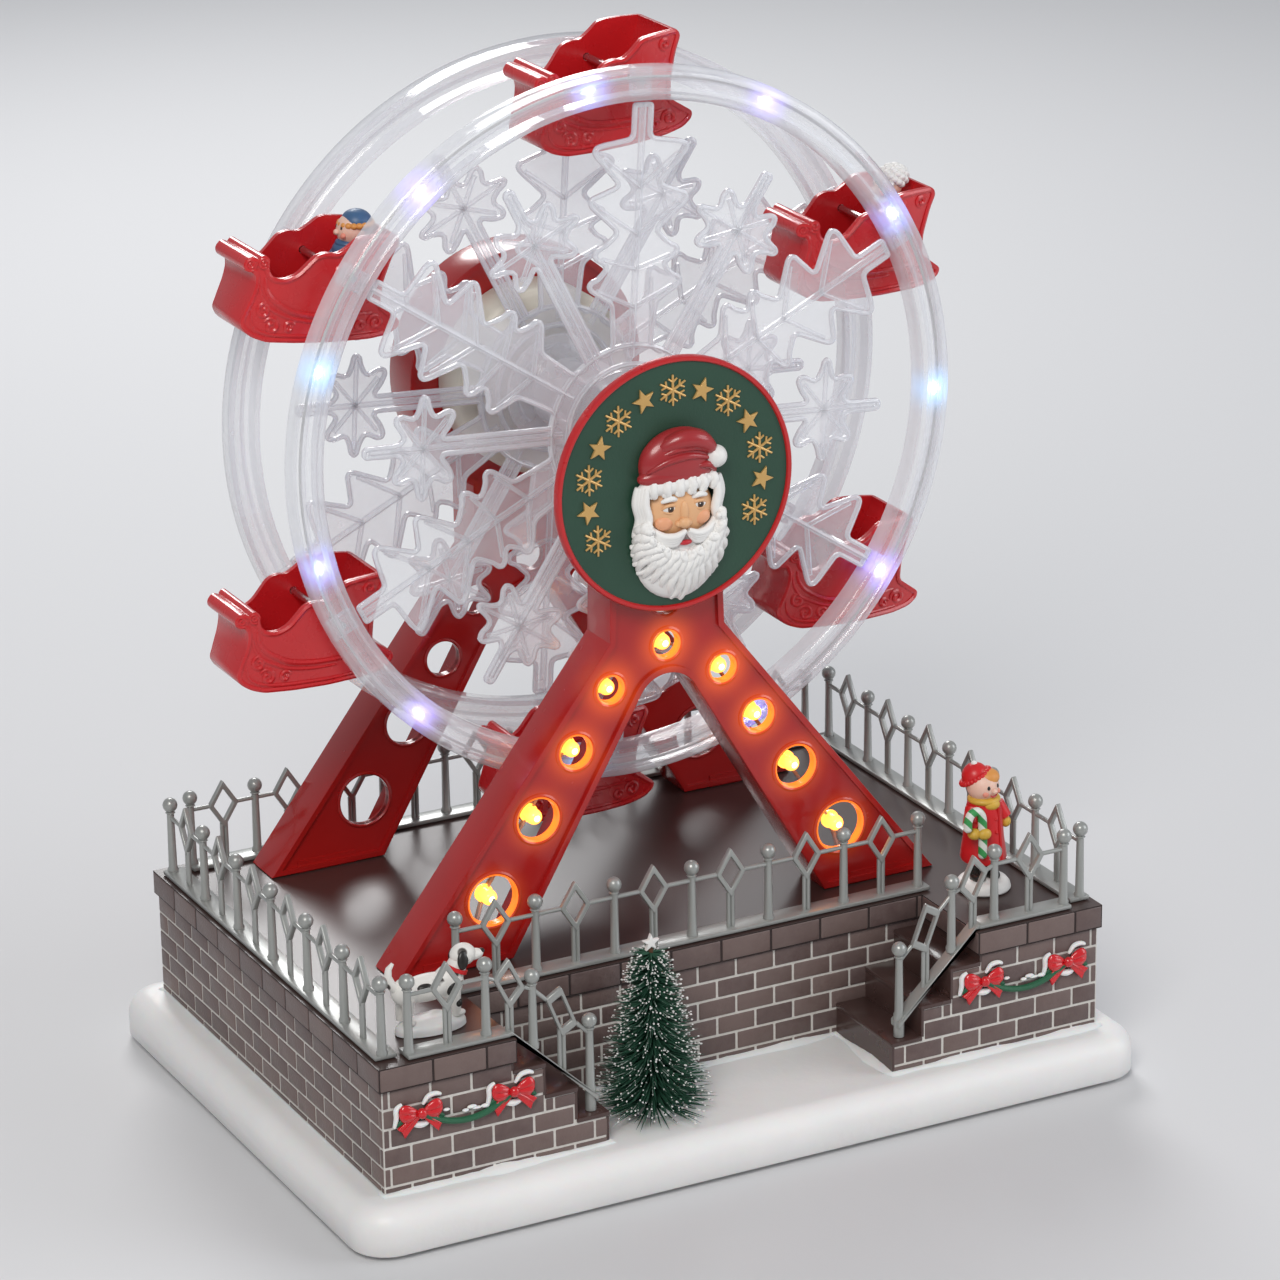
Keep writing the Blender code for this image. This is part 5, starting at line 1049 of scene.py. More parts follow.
def a_frame(name, face, head, holes, paint, node):
    """A channel-section frame with a lamp hole at each station and a raised ring round each hole."""
    outline = frame_outline(head)
    pocket = inset(outline, 1.8 * MM)
    web_front, web_back, back = face + 1.0 * MM, face + 3.0 * MM, face + FRAME_DEPTH
    body = upright([outline], face, back, 0.25 * MM, z=DECK)
    pockets = ((face - MM, web_front), (web_back, back + MM))
    cutters = [upright([pocket], start, end, z=DECK) for start, end in pockets]
    cutters += [upright([circle((x, z), r)], face - MM, back - 4 * MM, z=DECK) for x, z, r in holes]
    piece = Piece(name)
    piece.add(cut(body, cutters), paint)
    for x, z, r in holes:
        collar = [
            (r, 1.5 * MM), (r, -0.35 * MM), (r + 0.35 * MM, -0.6 * MM), (r + 0.9 * MM, -0.35 * MM),
            (r + MM, 1.5 * MM),
        ]
        piece.add(lathe(collar, 48, facing_back(x, web_front, DECK + z)), paint)
    for side in (-1, 1):
        x = side * 66.6 * MM
        depth = (web_front - 0.3 * MM, web_front + 2.3 * MM)
        piece.add(block((x - 9 * MM, x + 9 * MM), depth, (DECK - 3 * MM, DECK + 3.5 * MM)), paint)
    piece.done("base", [node], 30)


def a_frames():
    notch = (0.0, 95.5 * MM, 4.2 * MM)
    # The front frame's paint carries a painted orange glow round its lamps.
    lit = lit_paint("lamp_lit_red", FRAME_COLOUR, [(x, FRONT_FACE, DECK + z) for x, z, _ in LAMPS])
    a_frame("red_front_frame", FRONT_FACE, HEAD_RADIUS, LAMPS + [notch], lit, "front_frame")
    a_frame("red_rear_frame", REAR_FACE, HOUSING_RADIUS, LAMPS, RED, "rear_frame")
    rear_cover()


def rear_cover():
    """The disc that closes the rear housing, with a raised ring and four screw heads."""
    cover = Piece("red_rear_cover")
    radius = HOUSING_RADIUS - 0.3 * MM
    profile = [(0.0, 2.4 * MM), (radius - 4 * MM, 2.4 * MM), (radius - 1.6 * MM, 2.0 * MM),
               (radius - 0.4 * MM, 1.1 * MM), (radius, 0.0), (0.0, 0.0)]
    back = REAR_FACE + FRAME_DEPTH + 0.3 * MM
    cover.add(lathe(profile, 96, facing_back(0.0, back, AXLE.z)), RED)
    bead = metres([(22.0, 2.2), (22.0, 2.65), (23.2, 2.65), (23.2, 2.2)])
    cover.add(lathe(bead, 96, facing_back(0.0, back, AXLE.z)), RED)
    screw_head = metres([(0.0, 2.5), (0.9, 2.5), (1.0, 2.9), (1.9, 2.75), (2.3, 2.2), (0.0, 2.2)])
    screw_circle = 29.0 * MM
    for i in range(4):
        angle = math.pi / 4 + math.pi / 2 * i
        x, z = screw_circle * math.cos(angle), AXLE.z + screw_circle * math.sin(angle)
        cover.add(lathe(screw_head, 24, facing_back(x, back, z)), STEEL)
    cover.done("base", ["rear_cover"])


def amber_lamps():
    piece = Piece("amber_lamps")
    tip = FRONT_FACE + 1.2 * MM
    radius = 2.2 * MM
    bulb = [(0.0, -0.1 * MM)]
    for i in range(1, 7):
        angle = math.pi / 2 * i / 6
        bulb.append((radius * math.sin(angle), radius - radius * math.cos(angle)))
    bulb += [(radius, 5.2 * MM), (2.6 * MM, 5.2 * MM), (2.6 * MM, 6.0 * MM), (0.0, 6.0 * MM)]
    inside = ((0.05, 0.15), (0.55, 0.4), (0.7, 2.6), (0.05, 2.6))
    for x, z, r in LAMPS:
        piece.add(lathe(bulb, 28, facing_back(x, tip, DECK + z)), AMBER)
        piece.add(ball((x, tip + 1.4 * MM, DECK + z), 1.5 * MM), AMBER_CORE)
        # Painted glow: a glowing sleeve lines each hole, standing in for the lamp's light on its walls.
        sleeve = [(r - inwards * MM, depth * MM) for inwards, depth in inside]
        piece.add(lathe(sleeve, 40, facing_back(x, FRONT_FACE + 0.5 * MM, DECK + z)), AMBER_RIM)
    order = sorted(LAMPS, key=lambda lamp: lamp[0])
    wire_y = FRONT_FACE + 7.0 * MM
    route = [(order[0][0] - 4 * MM, wire_y, DECK + 5 * MM)]
    route += [(x, wire_y, DECK + z) for x, z, r in order]
    route.append((order[-1][0] + 4 * MM, wire_y, DECK + 5 * MM))
    for shift in (-0.5, 0.5):
        piece.add(tube([(x, y + shift * MM, z) for x, y, z in route], 0.45 * MM), WIRE)
    piece.done("base", ["amber_light_string"])


# Sign

def star_outline(centre, radius, points, depth, turn=math.pi / 2):
    outline = []
    for i in range(2 * points):
        reach = radius if i % 2 == 0 else radius * depth
        angle = turn + math.pi * i / points
        outline.append((centre[0] + reach * math.cos(angle), centre[1] + reach * math.sin(angle)))
    return outline


def flake_ornament(piece, centre, radius, y, material):
    """A small raised snowflake of six bars with side twigs."""
    for i in range(6):
        angle = math.pi / 6 + math.pi / 3 * i
        direction = Vector((math.cos(angle), 0.0, math.sin(angle)))
        middle = Vector((centre[0], y, centre[1]))
        piece.add(rod(middle, middle + direction * radius, 0.42 * MM, 0.3 * MM, 8), material)
        for side in (-1, 1):
            twig = angle + side * math.pi / 3.4
            start = middle + direction * radius * 0.52
            end = start + Vector((math.cos(twig), 0.0, math.sin(twig))) * radius * 0.38
            piece.add(rod(start, end, 0.32 * MM, 0.26 * MM, 8), material)


def sign():
    """A round dish on a boss, with a thin red rim and an arc of gold stars and flakes on its green field."""
    piece = Piece("round_sign")
    back = FRONT_FACE - 0.3 * MM
    place = facing_front(0.0, back, SIGN_Z)
    dish = [
        (0.0, 0.0), (19.6, 0.0), (20.0, 0.4), (20.0, 3.0), (34.9, 3.0), (35.5, 3.5), (35.5, 5.5), (35.2, 5.9),
        (34.75, 6.0), (34.3, 5.9), (34.0, 5.5), (34.0, 4.6), (0.0, 4.6),
    ]
    piece.add(lathe(metres(dish), 128, place), RIM_RED)
    field = [(0.0, 5.2), (34.1, 5.2), (34.1, 4.2), (0.0, 4.2)]
    piece.add(lathe(metres(field), 96, place), GREEN)
    face = back - 5.2 * MM
    count, first, sweep, radius = 13, 207.0, 232.0, 26.4 * MM
    for i in range(count):
        angle = math.radians(first - sweep * i / (count - 1))
        centre = (radius * math.cos(angle), radius * math.sin(angle))
        if i % 2 == 0:
            flake_ornament(piece, (centre[0], SIGN_Z + centre[1]), 4.3 * MM, face - 0.2 * MM, GOLD)
        else:
            outline = star_outline(centre, 3.5 * MM, 5, 0.42, angle)
            piece.add(upright([outline], face - 0.7 * MM, face + 0.2 * MM, 0.2 * MM, z=SIGN_Z), GOLD)
    piece.done("base", ["sign_dish"])


BEARD_ROOTS = (
    (-10.6, -7.4), (-10.2, -10.6), (-8.8, -13.0), (-6.6, -14.8), (-4.2, -16.2), (-2.0, -17.0),
    (0.3, -17.3), (2.6, -17.0), (4.8, -16.2), (7.0, -14.8), (9.0, -12.8), (10.4, -10.4), (10.6, -7.4),
)
BEARD_ENDS = (
    (-12.8, -11.6), (-13.7, -15.6), (-13.6, -19.4), (-12.0, -23.6), (-8.6, -27.0), (-4.4, -30.4),
    (-0.4, -32.6), (3.4, -31.6), (6.8, -29.4), (10.4, -27.0), (13.2, -22.8), (13.8, -17.6), (13.0, -12.2),
)
BEARD_LAYERS = ((1.0, 0.0, 1, 1.3), (0.66, 0.8, 2, 1.25), (0.36, 1.3, 3, 1.1))


def relief():
    """An old man's head in a winter cap, with a full white beard and a calm, general face."""
    piece = Piece("bearded_head")
    plane = FRONT_FACE - 5.8 * MM
    chooser = random.Random(3)

    def at(x, out, z):
        return Vector((x * MM, plane - out * MM, SIGN_Z + z * MM))

    lump, _ = modeller(piece, at)

    def lock(points, radius, material, ends=0.4):
        line = flowing([at(*point) for point in points])
        piece.add(tube(line, radius * MM, sides=12, taper=swell(len(line), ends)), material)

    lump(0.2, 0.2, -6.6, (10.4, 5.0, 8.8), OLD_SKIN)
    lump(-5.4, 3.3, -9.0, (2.8, 1.8, 2.2), OLD_CHEEK)
    lump(5.6, 3.3, -8.8, (2.8, 1.8, 2.2), OLD_CHEEK)
    lump(-0.1, 4.8, -6.2, (1.3, 1.2, 3.0), OLD_SKIN)
    lump(-0.4, 5.7, -9.0, (1.8, 1.4, 1.5), OLD_SKIN)
    for side in (-1, 1):
        x, z = 0.3 + side * 4.5, -4.9
        lump(-0.4 + side * 1.5, 5.1, -9.3, (1.0, 1.0, 0.9), OLD_SKIN)
        lump(x, 4.1, z, (2.0, 0.95, 1.15), WHITE)
        lump(x + 0.1, 4.75, z, (1.0, 0.5, 1.0), BROWN)
        lump(x + 0.1, 5.05, z, (0.55, 0.35, 0.55), DARK)
        # Painted highlight: a small white glint on each eye.
        lump(x - 0.25, 5.3, z + 0.35, (0.2, 0.15, 0.2), WHITE)
        lid = [(x - 2.2, 3.9, z - 0.2), (x - 1.2, 4.7, z + 0.9), (x + 0.8, 4.8, z + 1.0), (x + 2.2, 3.9, z)]
        lock(lid, 0.5, OLD_SKIN)
        lock([(x - 1.9, 4.1, z - 0.6), (x, 4.8, z - 1.2), (x + 1.9, 4.1, z - 0.6)], 0.35, OLD_SKIN)
        lock([(x - 2.4, 4.0, z + 2.0), (x, 5.0, z + 2.9), (x + 2.4, 4.0, z + 2.1)], 0.8, BEARD)
    lump(0.3, 4.7, -15.0, (1.9, 0.8, 0.75), MOUTH)

    lump(0.2, -0.4, -18.6, (13.2, 4.4, 13.6), BEARD)
    roots, ends = flowing(BEARD_ROOTS, 3), flowing(BEARD_ENDS, 3)
    for layer, (reach, lift, every, radius) in enumerate(BEARD_LAYERS):
        for i in range(layer, len(roots), every):
            root, end = Vector(roots[i]), Vector(ends[i])
            end = root + (end - root) * (reach - chooser.uniform(0.0, 0.06))
            across = Vector((end.y - root.y, root.x - end.x)).normalized()
            side = 1 if (i + layer) % 2 else -1
            wave = chooser.uniform(0.5, 1.0) * side
            points = []
            for t in (0.0, 0.25, 0.5, 0.75, 1.0):
                sway = wave * math.sin(2 * math.pi * t * 1.1)
                place = root + (end - root) * t + across * sway
                fall = reach * t
                out = 3.9 - 3.6 * fall ** 2.2 + lift * (1 - t) + 0.5 * math.sin(math.pi * t)
                points.append((place.x, out, place.y))
            lock(points, radius, BEARD, 0.45)
    for side in (-1, 1):
        for k in range(4):
            drop = 0.75 * k
            moustache = [
                (0.4 + side * 0.4, 5.6 - 0.3 * k, -11.3 - 0.3 * drop),
                (0.3 + side * 3.2, 5.6 - 0.3 * k, -12.5 - drop),
                (0.3 + side * 6.6, 4.6 - 0.2 * k, -12.4 - 0.8 * drop),
                (0.3 + side * 9.6, 3.1, -10.4 - 0.7 * drop),
                (0.3 + side * 11.4, 2.0, -8.2 - 0.4 * drop),
            ]
            lock(moustache, 1.15, BEARD, 0.5)
        for k in range(4):
            x, back = side * (10.3 + 0.6 * k), 0.6 * k
            whiskers = [
                (x, 3.2 - back, 1.5), (x + side * 0.7, 3.3 - back, -3.0), (x - side * 0.2, 3.3 - back, -7.6),
                (x + side * 1.2, 3.0 - back, -12.0),
            ]
            lock(whiskers, 1.35, BEARD, 0.6)

    lump(-0.6, 1.9, 1.2, (11.8, 3.6, 3.0), BEARD, (0.0, math.radians(-1), 0.0))
    for k in range(11):
        x = -9.6 + 1.85 * k
        back = 0.02 * x * x
        lean = -1.0 if k % 2 else 1.2
        brim = [(x, 4.2 - back, 3.2), (x + lean, 5.0 - back, 1.0), (x + 0.3 * lean, 4.5 - back, -1.6)]
        lock(brim, 1.3, BEARD, 0.6)
    lump(-0.2, 0.9, 7.2, (11.4, 4.8, 9.0), CAP_RED, (0.0, math.radians(-9), 0.0))
    lump(-0.8, 1.8, 4.0, (11.7, 3.6, 3.4), CAP_RED, (0.0, math.radians(-2), 0.0))
    lock([(-6.0, 2.2, 11.0), (-0.5, 3.8, 13.6), (5.0, 4.2, 13.0), (9.2, 3.8, 9.6)], 3.0, CAP_RED, 0.5)
    lock([(-10.4, 3.2, 5.4), (-5.0, 4.9, 8.4), (2.0, 5.3, 9.2), (8.8, 4.2, 7.2)], 1.1, CAP_RED, 0.2)
    lock([(-8.0, 3.3, 8.8), (-2.5, 4.9, 11.2), (4.0, 5.2, 11.2), (9.0, 4.2, 8.4)], 0.9, CAP_RED, 0.2)
    lock([(4.4, 4.9, 6.0), (8.2, 4.4, 5.6), (10.4, 2.8, 3.0)], 1.1, CAP_RED, 0.3)
    piece.add(ball(at(10.3, 3.6, 7.4), 3.1 * MM), WHITE)
    bmesh.ops.bisect_plane(
        piece.shape,
        geom=list(piece.shape.verts) + list(piece.shape.edges) + list(piece.shape.faces),
        plane_co=(0.0, plane, 0.0),
        plane_no=(0.0, 1.0, 0.0),
        clear_outer=True,
    )
    piece.done("base", ["sign_relief"], 60)


# Wheel, its profiles and outlines in millimetres

AXLE_HOLE = 3.3


def ring(name, sign_y, clear, node):
    """A clear channel with two ridges on its face; sign_y is -1 for the front ring."""
    profile = metres([
        (91.0, 0.0), (91.0, 5.0), (91.6, 6.1), (92.6, 6.6), (93.4, 6.7), (94.0, 6.3), (94.4, 5.7),
        (95.5, 5.5), (96.6, 5.7), (97.0, 6.3), (97.6, 6.7), (98.4, 6.6), (99.4, 6.1), (100.0, 5.0),
        (100.0, 0.0), (98.5, 0.0), (98.5, 4.6), (97.6, 5.3), (96.4, 4.5), (95.5, 4.2), (94.6, 4.5),
        (93.4, 5.3), (92.5, 4.6), (92.5, 0.0),
    ])
    face = RING_HALF_SPACING - 3.35 * MM
    place = Matrix.Translation((0.0, AXLE.y + sign_y * face, AXLE.z))
    turn = Matrix.Rotation(math.radians(90 if sign_y < 0 else -90), 4, "X")
    piece = Piece(name)
    piece.add(lathe(profile, 180, place @ turn), clear)
    depth = (-2.3 * MM, 0.0) if sign_y < 0 else (0.0, 2.3 * MM)
    bar = block((91.4 * MM, 99.4 * MM), depth, (-3 * MM, 3 * MM), 0.4 * MM)
    for i in range(6):
        angle = PHASE + math.pi / 3 * i
        piece.add(bar, clear, place @ Matrix.Rotation(-angle, 4, "Y"))
    piece.done("wheel", [node])


def polar(points, angle):
    c, s = math.cos(angle), math.sin(angle)
    return [(u * c - v * s, u * s + v * c) for u, v in points]


# Along the arm and across it, in millimetres: each tier's tip, then the valley behind it
MAJOR_TIERS = (
    (79.0, 14.6, 68.0, 6.6), (65.2, 15.2, 55.0, 6.4), (50.8, 13.2, 45.5, 9.0), (42.2, 14.4, 35.0, 7.2),
)
MINOR_LOBES = (
    (55.4, 2.7), (53.2, 5.4), (51.9, 8.4), (52.6, 10.2), (54.6, 10.5), (58.0, 8.8), (59.4, 11.6),
    (59.9, 14.0), (61.3, 15.0), (62.7, 14.0), (63.2, 11.6), (64.2, 8.8), (67.6, 10.0), (70.0, 9.2),
    (70.2, 7.2), (67.4, 3.2), (69.0, 1.9), (78.2, 1.8), (79.2, 0.9),
)


def flake_outline():
    outline = []
    for i in range(12):
        angle = PHASE + math.pi / 6 * i
        if i % 2 == 0:
            side = [(90.3, 3.1), (81.0, 3.1)]
            for along, across, valley_along, valley in MAJOR_TIERS:
                tip = [(along + 0.7, across - 2.8), (along, across - 0.8), (along - 1.7, across + 0.1)]
                side += tip + [(along - 3.4, across - 0.9), (valley_along, valley)]
            side = list(reversed(side))
        else:
            side = [(23.0, 2.7)] + list(MINOR_LOBES)
        side = metres(side)
        outline += polar([(u, -v) for u, v in side] + list(reversed(side)), angle)
        between = angle + math.pi / 12
        outline.append((24 * MM * math.cos(between), 24 * MM * math.sin(between)))
    return rounded(outline, 1.3 * MM, 3)


def snowflake(name, y, node):
    """A clear snowflake with a raised edge and a raised vein along every arm and twig."""
    outline = flake_outline()
    piece = Piece(name)
    half = 0.65 * MM
    loops = [outline, circle((0.0, 0.0), AXLE_HOLE * MM)]
    piece.add(upright(loops, y - half, y + half, 0.25 * MM, z=AXLE.z), CLEAR_PLATE)
    edge = inset(outline, 0.7 * MM)
    piece.add(tube([(x, y, AXLE.z + z) for x, z in edge], 0.72 * MM, closed=True), CLEAR_EDGE)

    def vein(angle, points, radius):
        flat = polar(metres(points), angle)
        piece.add(tube([(x, y, AXLE.z + z) for x, z in flat], radius * MM), CLEAR)

    for i in range(6):
        angle = PHASE + math.pi / 3 * i
        vein(angle, [(20.0, 0.0), (90.0, 0.0)], 0.95)
        for along, across, valley_along, _ in MAJOR_TIERS:
            for side in (-1, 1):
                vein(angle, [(valley_along - 1.0, 0.0), (along - 3.0, side * (across - 3.0))], 0.75)
        slim = angle + math.pi / 6
        vein(slim, [(20.0, 0.0), (77.0, 0.0)], 0.85)
        for u, v in ((54.6, 7.6), (61.3, 12.6), (67.6, 7.2)):
            for side in (-1, 1):
                vein(slim, [(61.3, 0.0), (u, side * v)], 0.7)
    for radius in (12.0, 18.0, 23.4):
        points = [(x, y, AXLE.z + z) for x, z in circle((0.0, 0.0), radius * MM, 72)]
        piece.add(tube(points, 0.85 * MM, closed=True), CLEAR_EDGE)
    piece.done("wheel", [node], 50)


def wheel():
    led_y, led_radius = AXLE.y - RING_HALF_SPACING - 0.45 * MM, 95.9 * MM
    leds = [(led_radius * math.cos(a), led_y, AXLE.z + led_radius * math.sin(a)) for a in LED_ANGLES]
    # The front ring's plastic carries a painted glow round its lamps.
    ring("clear_front_ring", -1, clear_plastic("lamp_lit_clear", 0.15, 0.60, leds), "front_ring")
    ring("clear_rear_ring", 1, CLEAR, "rear_ring")
    snowflake("clear_front_snowflake", AXLE.y - RING_HALF_SPACING, "front_snowflake")
    snowflake("clear_rear_snowflake", AXLE.y + RING_HALF_SPACING, "rear_snowflake")
    hub_drum()
    gear_case()
    ring_lamps(leds, led_y)


def hub_drum():
    hub = Piece("clear_hub")
    low = AXLE.y - RING_HALF_SPACING + 1.5 * MM
    length = 2 * RING_HALF_SPACING - 3.0 * MM
    half = [
        (AXLE_HOLE, 0.0), (16.0, 0.0), (16.0, 1.4), (15.2, 2.0), (12.2, 3.0), (10.2, 5.0), (10.0, 8.0),
    ]
    profile = metres(half + [(r, length / MM - h) for r, h in reversed(half)])
    hub.add(lathe(profile, 72, facing_back(0.0, low, AXLE.z)), CLEAR)
    rib = block((9.4 * MM, 12.6 * MM), (low + 4 * MM, low + length - 4 * MM), (-0.6 * MM, 0.6 * MM), 0.3 * MM)
    for i in range(6):
        angle = math.pi / 3 * i
        hub.add(rib, CLEAR, Matrix.Translation((0, 0, AXLE.z)) @ Matrix.Rotation(angle, 4, "Y"))
    hub.done("wheel", ["hub_drum"])


def gear_case():
    """An open nylon cup behind the hub, its rim in the rear frame's pocket."""
    case = Piece("gear_case_shell")
    depth = 13.2
    profile = metres([
        (3.6, 1.5), (25.5, 1.5), (25.5, depth), (27.0, depth), (27.0, 1.6), (26.4, 0.6), (25.4, 0.0),
        (16.0, 0.0), (15.4, 0.5), (9.0, 0.5), (8.4, 0.0), (3.6, 0.0),
    ])
    start = REAR_FACE + 1.0 * MM - 0.3 * MM - depth * MM
    case.add(lathe(profile, 96, facing_back(0.0, start, AXLE.z)), NYLON)
    case.done("base", ["gear_case"])


def ring_lamps(leds, led_y):
    """The front ring's eleven cool lamps, on one wire."""
    lamps = Piece("ring_lamps")
    wire = [(x, led_y, AXLE.z + z) for x, z in circle((0.0, 0.0), 97.2 * MM, 132)]
    lamps.add(tube(wire, 0.4 * MM, closed=True), WIRE)
    for angle, (x, y, z) in zip(LED_ANGLES, leds):
        tilt = (0.0, -angle, 0.0)
        lamps.add(ball((x, y, z), (1.15 * MM, 1.2 * MM, 2.3 * MM), tilt), COOL)
        lamps.add(ball((x, y - 0.5 * MM, z), (0.9 * MM, 0.95 * MM, 1.4 * MM), tilt), COOL_CORE)
    lamps.done("wheel", ["ring_light_string"])


# Sleighs and riders

# Millimetres about the pin, with the nose towards -x
SLEIGH_HALF_WIDTH = 13.4 * MM
SLEIGH_SIDE = (
    (9.0, -18.4), (14.6, -17.4), (17.4, -15.5), (17.9, -13.6), (11.6, -8.8), (12.2, -3.0), (14.4, 3.8),
    (16.4, 8.0), (15.4, 10.0), (9.4, 9.8), (4.4, 9.4), (1.4, 6.8), (-1.6, 5.0), (-4.8, 5.6), (-7.8, 4.8),
    (-10.4, 2.2), (-12.8, 0.0), (-16.2, -1.2), (-19.4, -0.6), (-20.9, 1.6), (-20.7, 4.2), (-22.2, 5.5),
    (-24.2, 4.6), (-25.6, 5.4), (-27.6, 5.0), (-28.4, 3.2), (-27.4, 1.5), (-25.0, 1.0), (-24.5, -1.6),
    (-25.4, -5.0), (-27.6, -9.6), (-28.6, -12.4), (-27.4, -14.6), (-24.6, -16.6), (-20.6, -18.0),
    (-12.0, -18.6), (-2.0, -18.8),
)
SLEIGH_ROOM = (
    (-19.4, 14.0), (-19.4, 1.4), (-22.6, -1.2), (-23.4, -5.2), (-25.4, -9.8), (-26.2, -12.2), (-23.6, -14.8),
    (-19.6, -16.2), (-8.0, -16.9), (8.6, -16.7), (9.7, -9.0), (10.3, -2.6), (12.5, 4.2), (14.0, 8.0),
    (14.0, 14.0),
)
SLEIGH_BANDS = (
    (0.85, ((-21.8, -0.6), (-21.4, -3.4), (-19.6, -6.2), (-16.4, -8.5), (-12.4, -10.4), (-6.0, -11.5),
            (2.0, -11.7), (9.4, -11.2))),
    (0.6, ((-23.2, -2.0), (-22.9, -4.6), (-21.0, -8.0), (-17.2, -10.4), (-12.6, -12.2), (-6.0, -13.2),
           (1.0, -13.4))),
    (0.55, ((-25.4, -9.4), (-25.0, -12.6), (-22.4, -15.0), (-16.6, -16.3), (-8.0, -16.8), (2.0, -16.9),
            (10.0, -16.4))),
)
NOSE_ROLLS = ((-26.3, 3.3, 2.0), (-22.6, 3.7, 1.8))
SLEIGH_SCROLLS = (
    ((-21.7, -9.4), 2.2, 1.2, 1.2), ((-19.4, -13.6), 2.4, 2.6, -1.3), ((-14.2, -14.2), 1.7, 0.4, 1.1),
    ((10.6, -13.9), 2.3, 3.3, -1.3), ((6.2, -14.8), 1.5, 0.2, 1.1), ((11.6, 6.4), 1.8, 4.4, -1.2),
)


def sleigh_mesh():
    """A sleigh about its pin: a hollow hull with a beaded rim, bands and scrolls, and rolls over its nose."""
    piece = Piece("sleigh")
    half, corner, wall = SLEIGH_HALF_WIDTH, 1.4 * MM, 1.4 * MM
    outline = rounded(metres(SLEIGH_SIDE), corner, 3)
    room = rounded(metres(SLEIGH_ROOM), corner, 3)
    inner = half - wall
    hole = rod((0, -0.02, 0), (0, 0.02, 0), 1.1 * MM)
    hull = upright([outline], -half, half, 0.5 * MM)
    piece.add(cut(hull, [upright([room], -inner, inner), hole]), SLEIGH_RED)
    across = (-inner - 0.3 * MM, inner + 0.3 * MM)
    seat = block((0.4 * MM, 10.8 * MM), across, (-17.4 * MM, -10.4 * MM), 0.8 * MM)
    piece.add(seat, SLEIGH_RED)
    rim = inset(outline, 0.7 * MM)
    for side in (-1, 1):
        bead = [(x, side * (half - 0.05 * MM), z) for x, z in rim]
        piece.add(tube(bead, 0.72 * MM, closed=True), SLEIGH_RED)
        y = side * (half + 0.02 * MM)
        for radius, points in SLEIGH_BANDS:
            line = flowing([(x * MM, y, z * MM) for x, z in points])
            piece.add(tube(line, radius * MM, taper=swell(len(line), 0.4)), SLEIGH_RED)
        for centre, radius, start, turns in SLEIGH_SCROLLS:
            scroll = [(x, y, z) for x, z in spiral([c * MM for c in centre], radius * MM, start, turns)]
            piece.add(tube(scroll, 0.68 * MM, taper=swell(len(scroll), 0.6)), SLEIGH_RED)
        for x, z, radius in NOSE_ROLLS:
            scroll = spiral((x * MM, z * MM), (radius - 0.25) * MM, 5.2, -1.6)
            end = side * (half + 0.5 * MM)
            piece.add(tube([(sx, end, sz) for sx, sz in scroll], 0.4 * MM), SLEIGH_RED)
        boss = metres([(0.0, 0.5), (1.7, 0.5), (2.2, 0.1), (2.3, -0.4), (0.0, -0.4)])
        turn = facing_back(0.0, y, 0.0) if side > 0 else facing_front(0.0, y, 0.0)
        piece.add(cut(lathe(boss, 28, turn), [hole]), SLEIGH_RED)
    reach = half + 0.4 * MM
    for x, z, radius in NOSE_ROLLS:
        roll = rod((x * MM, -reach, z * MM), (x * MM, reach, z * MM), radius * MM, sides=28)
        piece.add(roll, SLEIGH_RED)
    narrow_to_ends(piece.shape)
    return piece.mesh()


def narrow_to_ends(shape):
    """Draws a sleigh's sides in towards its nose and its back, most at the very ends."""
    first_cut, cut_step, cuts = -26.3, 2.8, 16
    nose_reach, back_reach = 26.0 * MM, 16.5 * MM
    narrowing, most, curve = 0.28, 1.12, 1.8
    for k in range(cuts):
        place = ((k * cut_step + first_cut) * MM, 0, 0)
        everything = shape.verts[:] + shape.edges[:] + shape.faces[:]
        bmesh.ops.bisect_plane(shape, geom=everything, dist=0.001 * MM, plane_co=place, plane_no=(1, 0, 0))
    for v in shape.verts:
        reach = nose_reach if v.co.x < 0 else back_reach
        drawn_in = narrowing * min(most, (abs(v.co.x) / reach) ** curve)
        step = drawn_in * SLEIGH_HALF_WIDTH
        v.co = Vector((v.co.x + 0.45 * step, v.co.y * (1 - drawn_in), v.co.z - 0.3 * step))


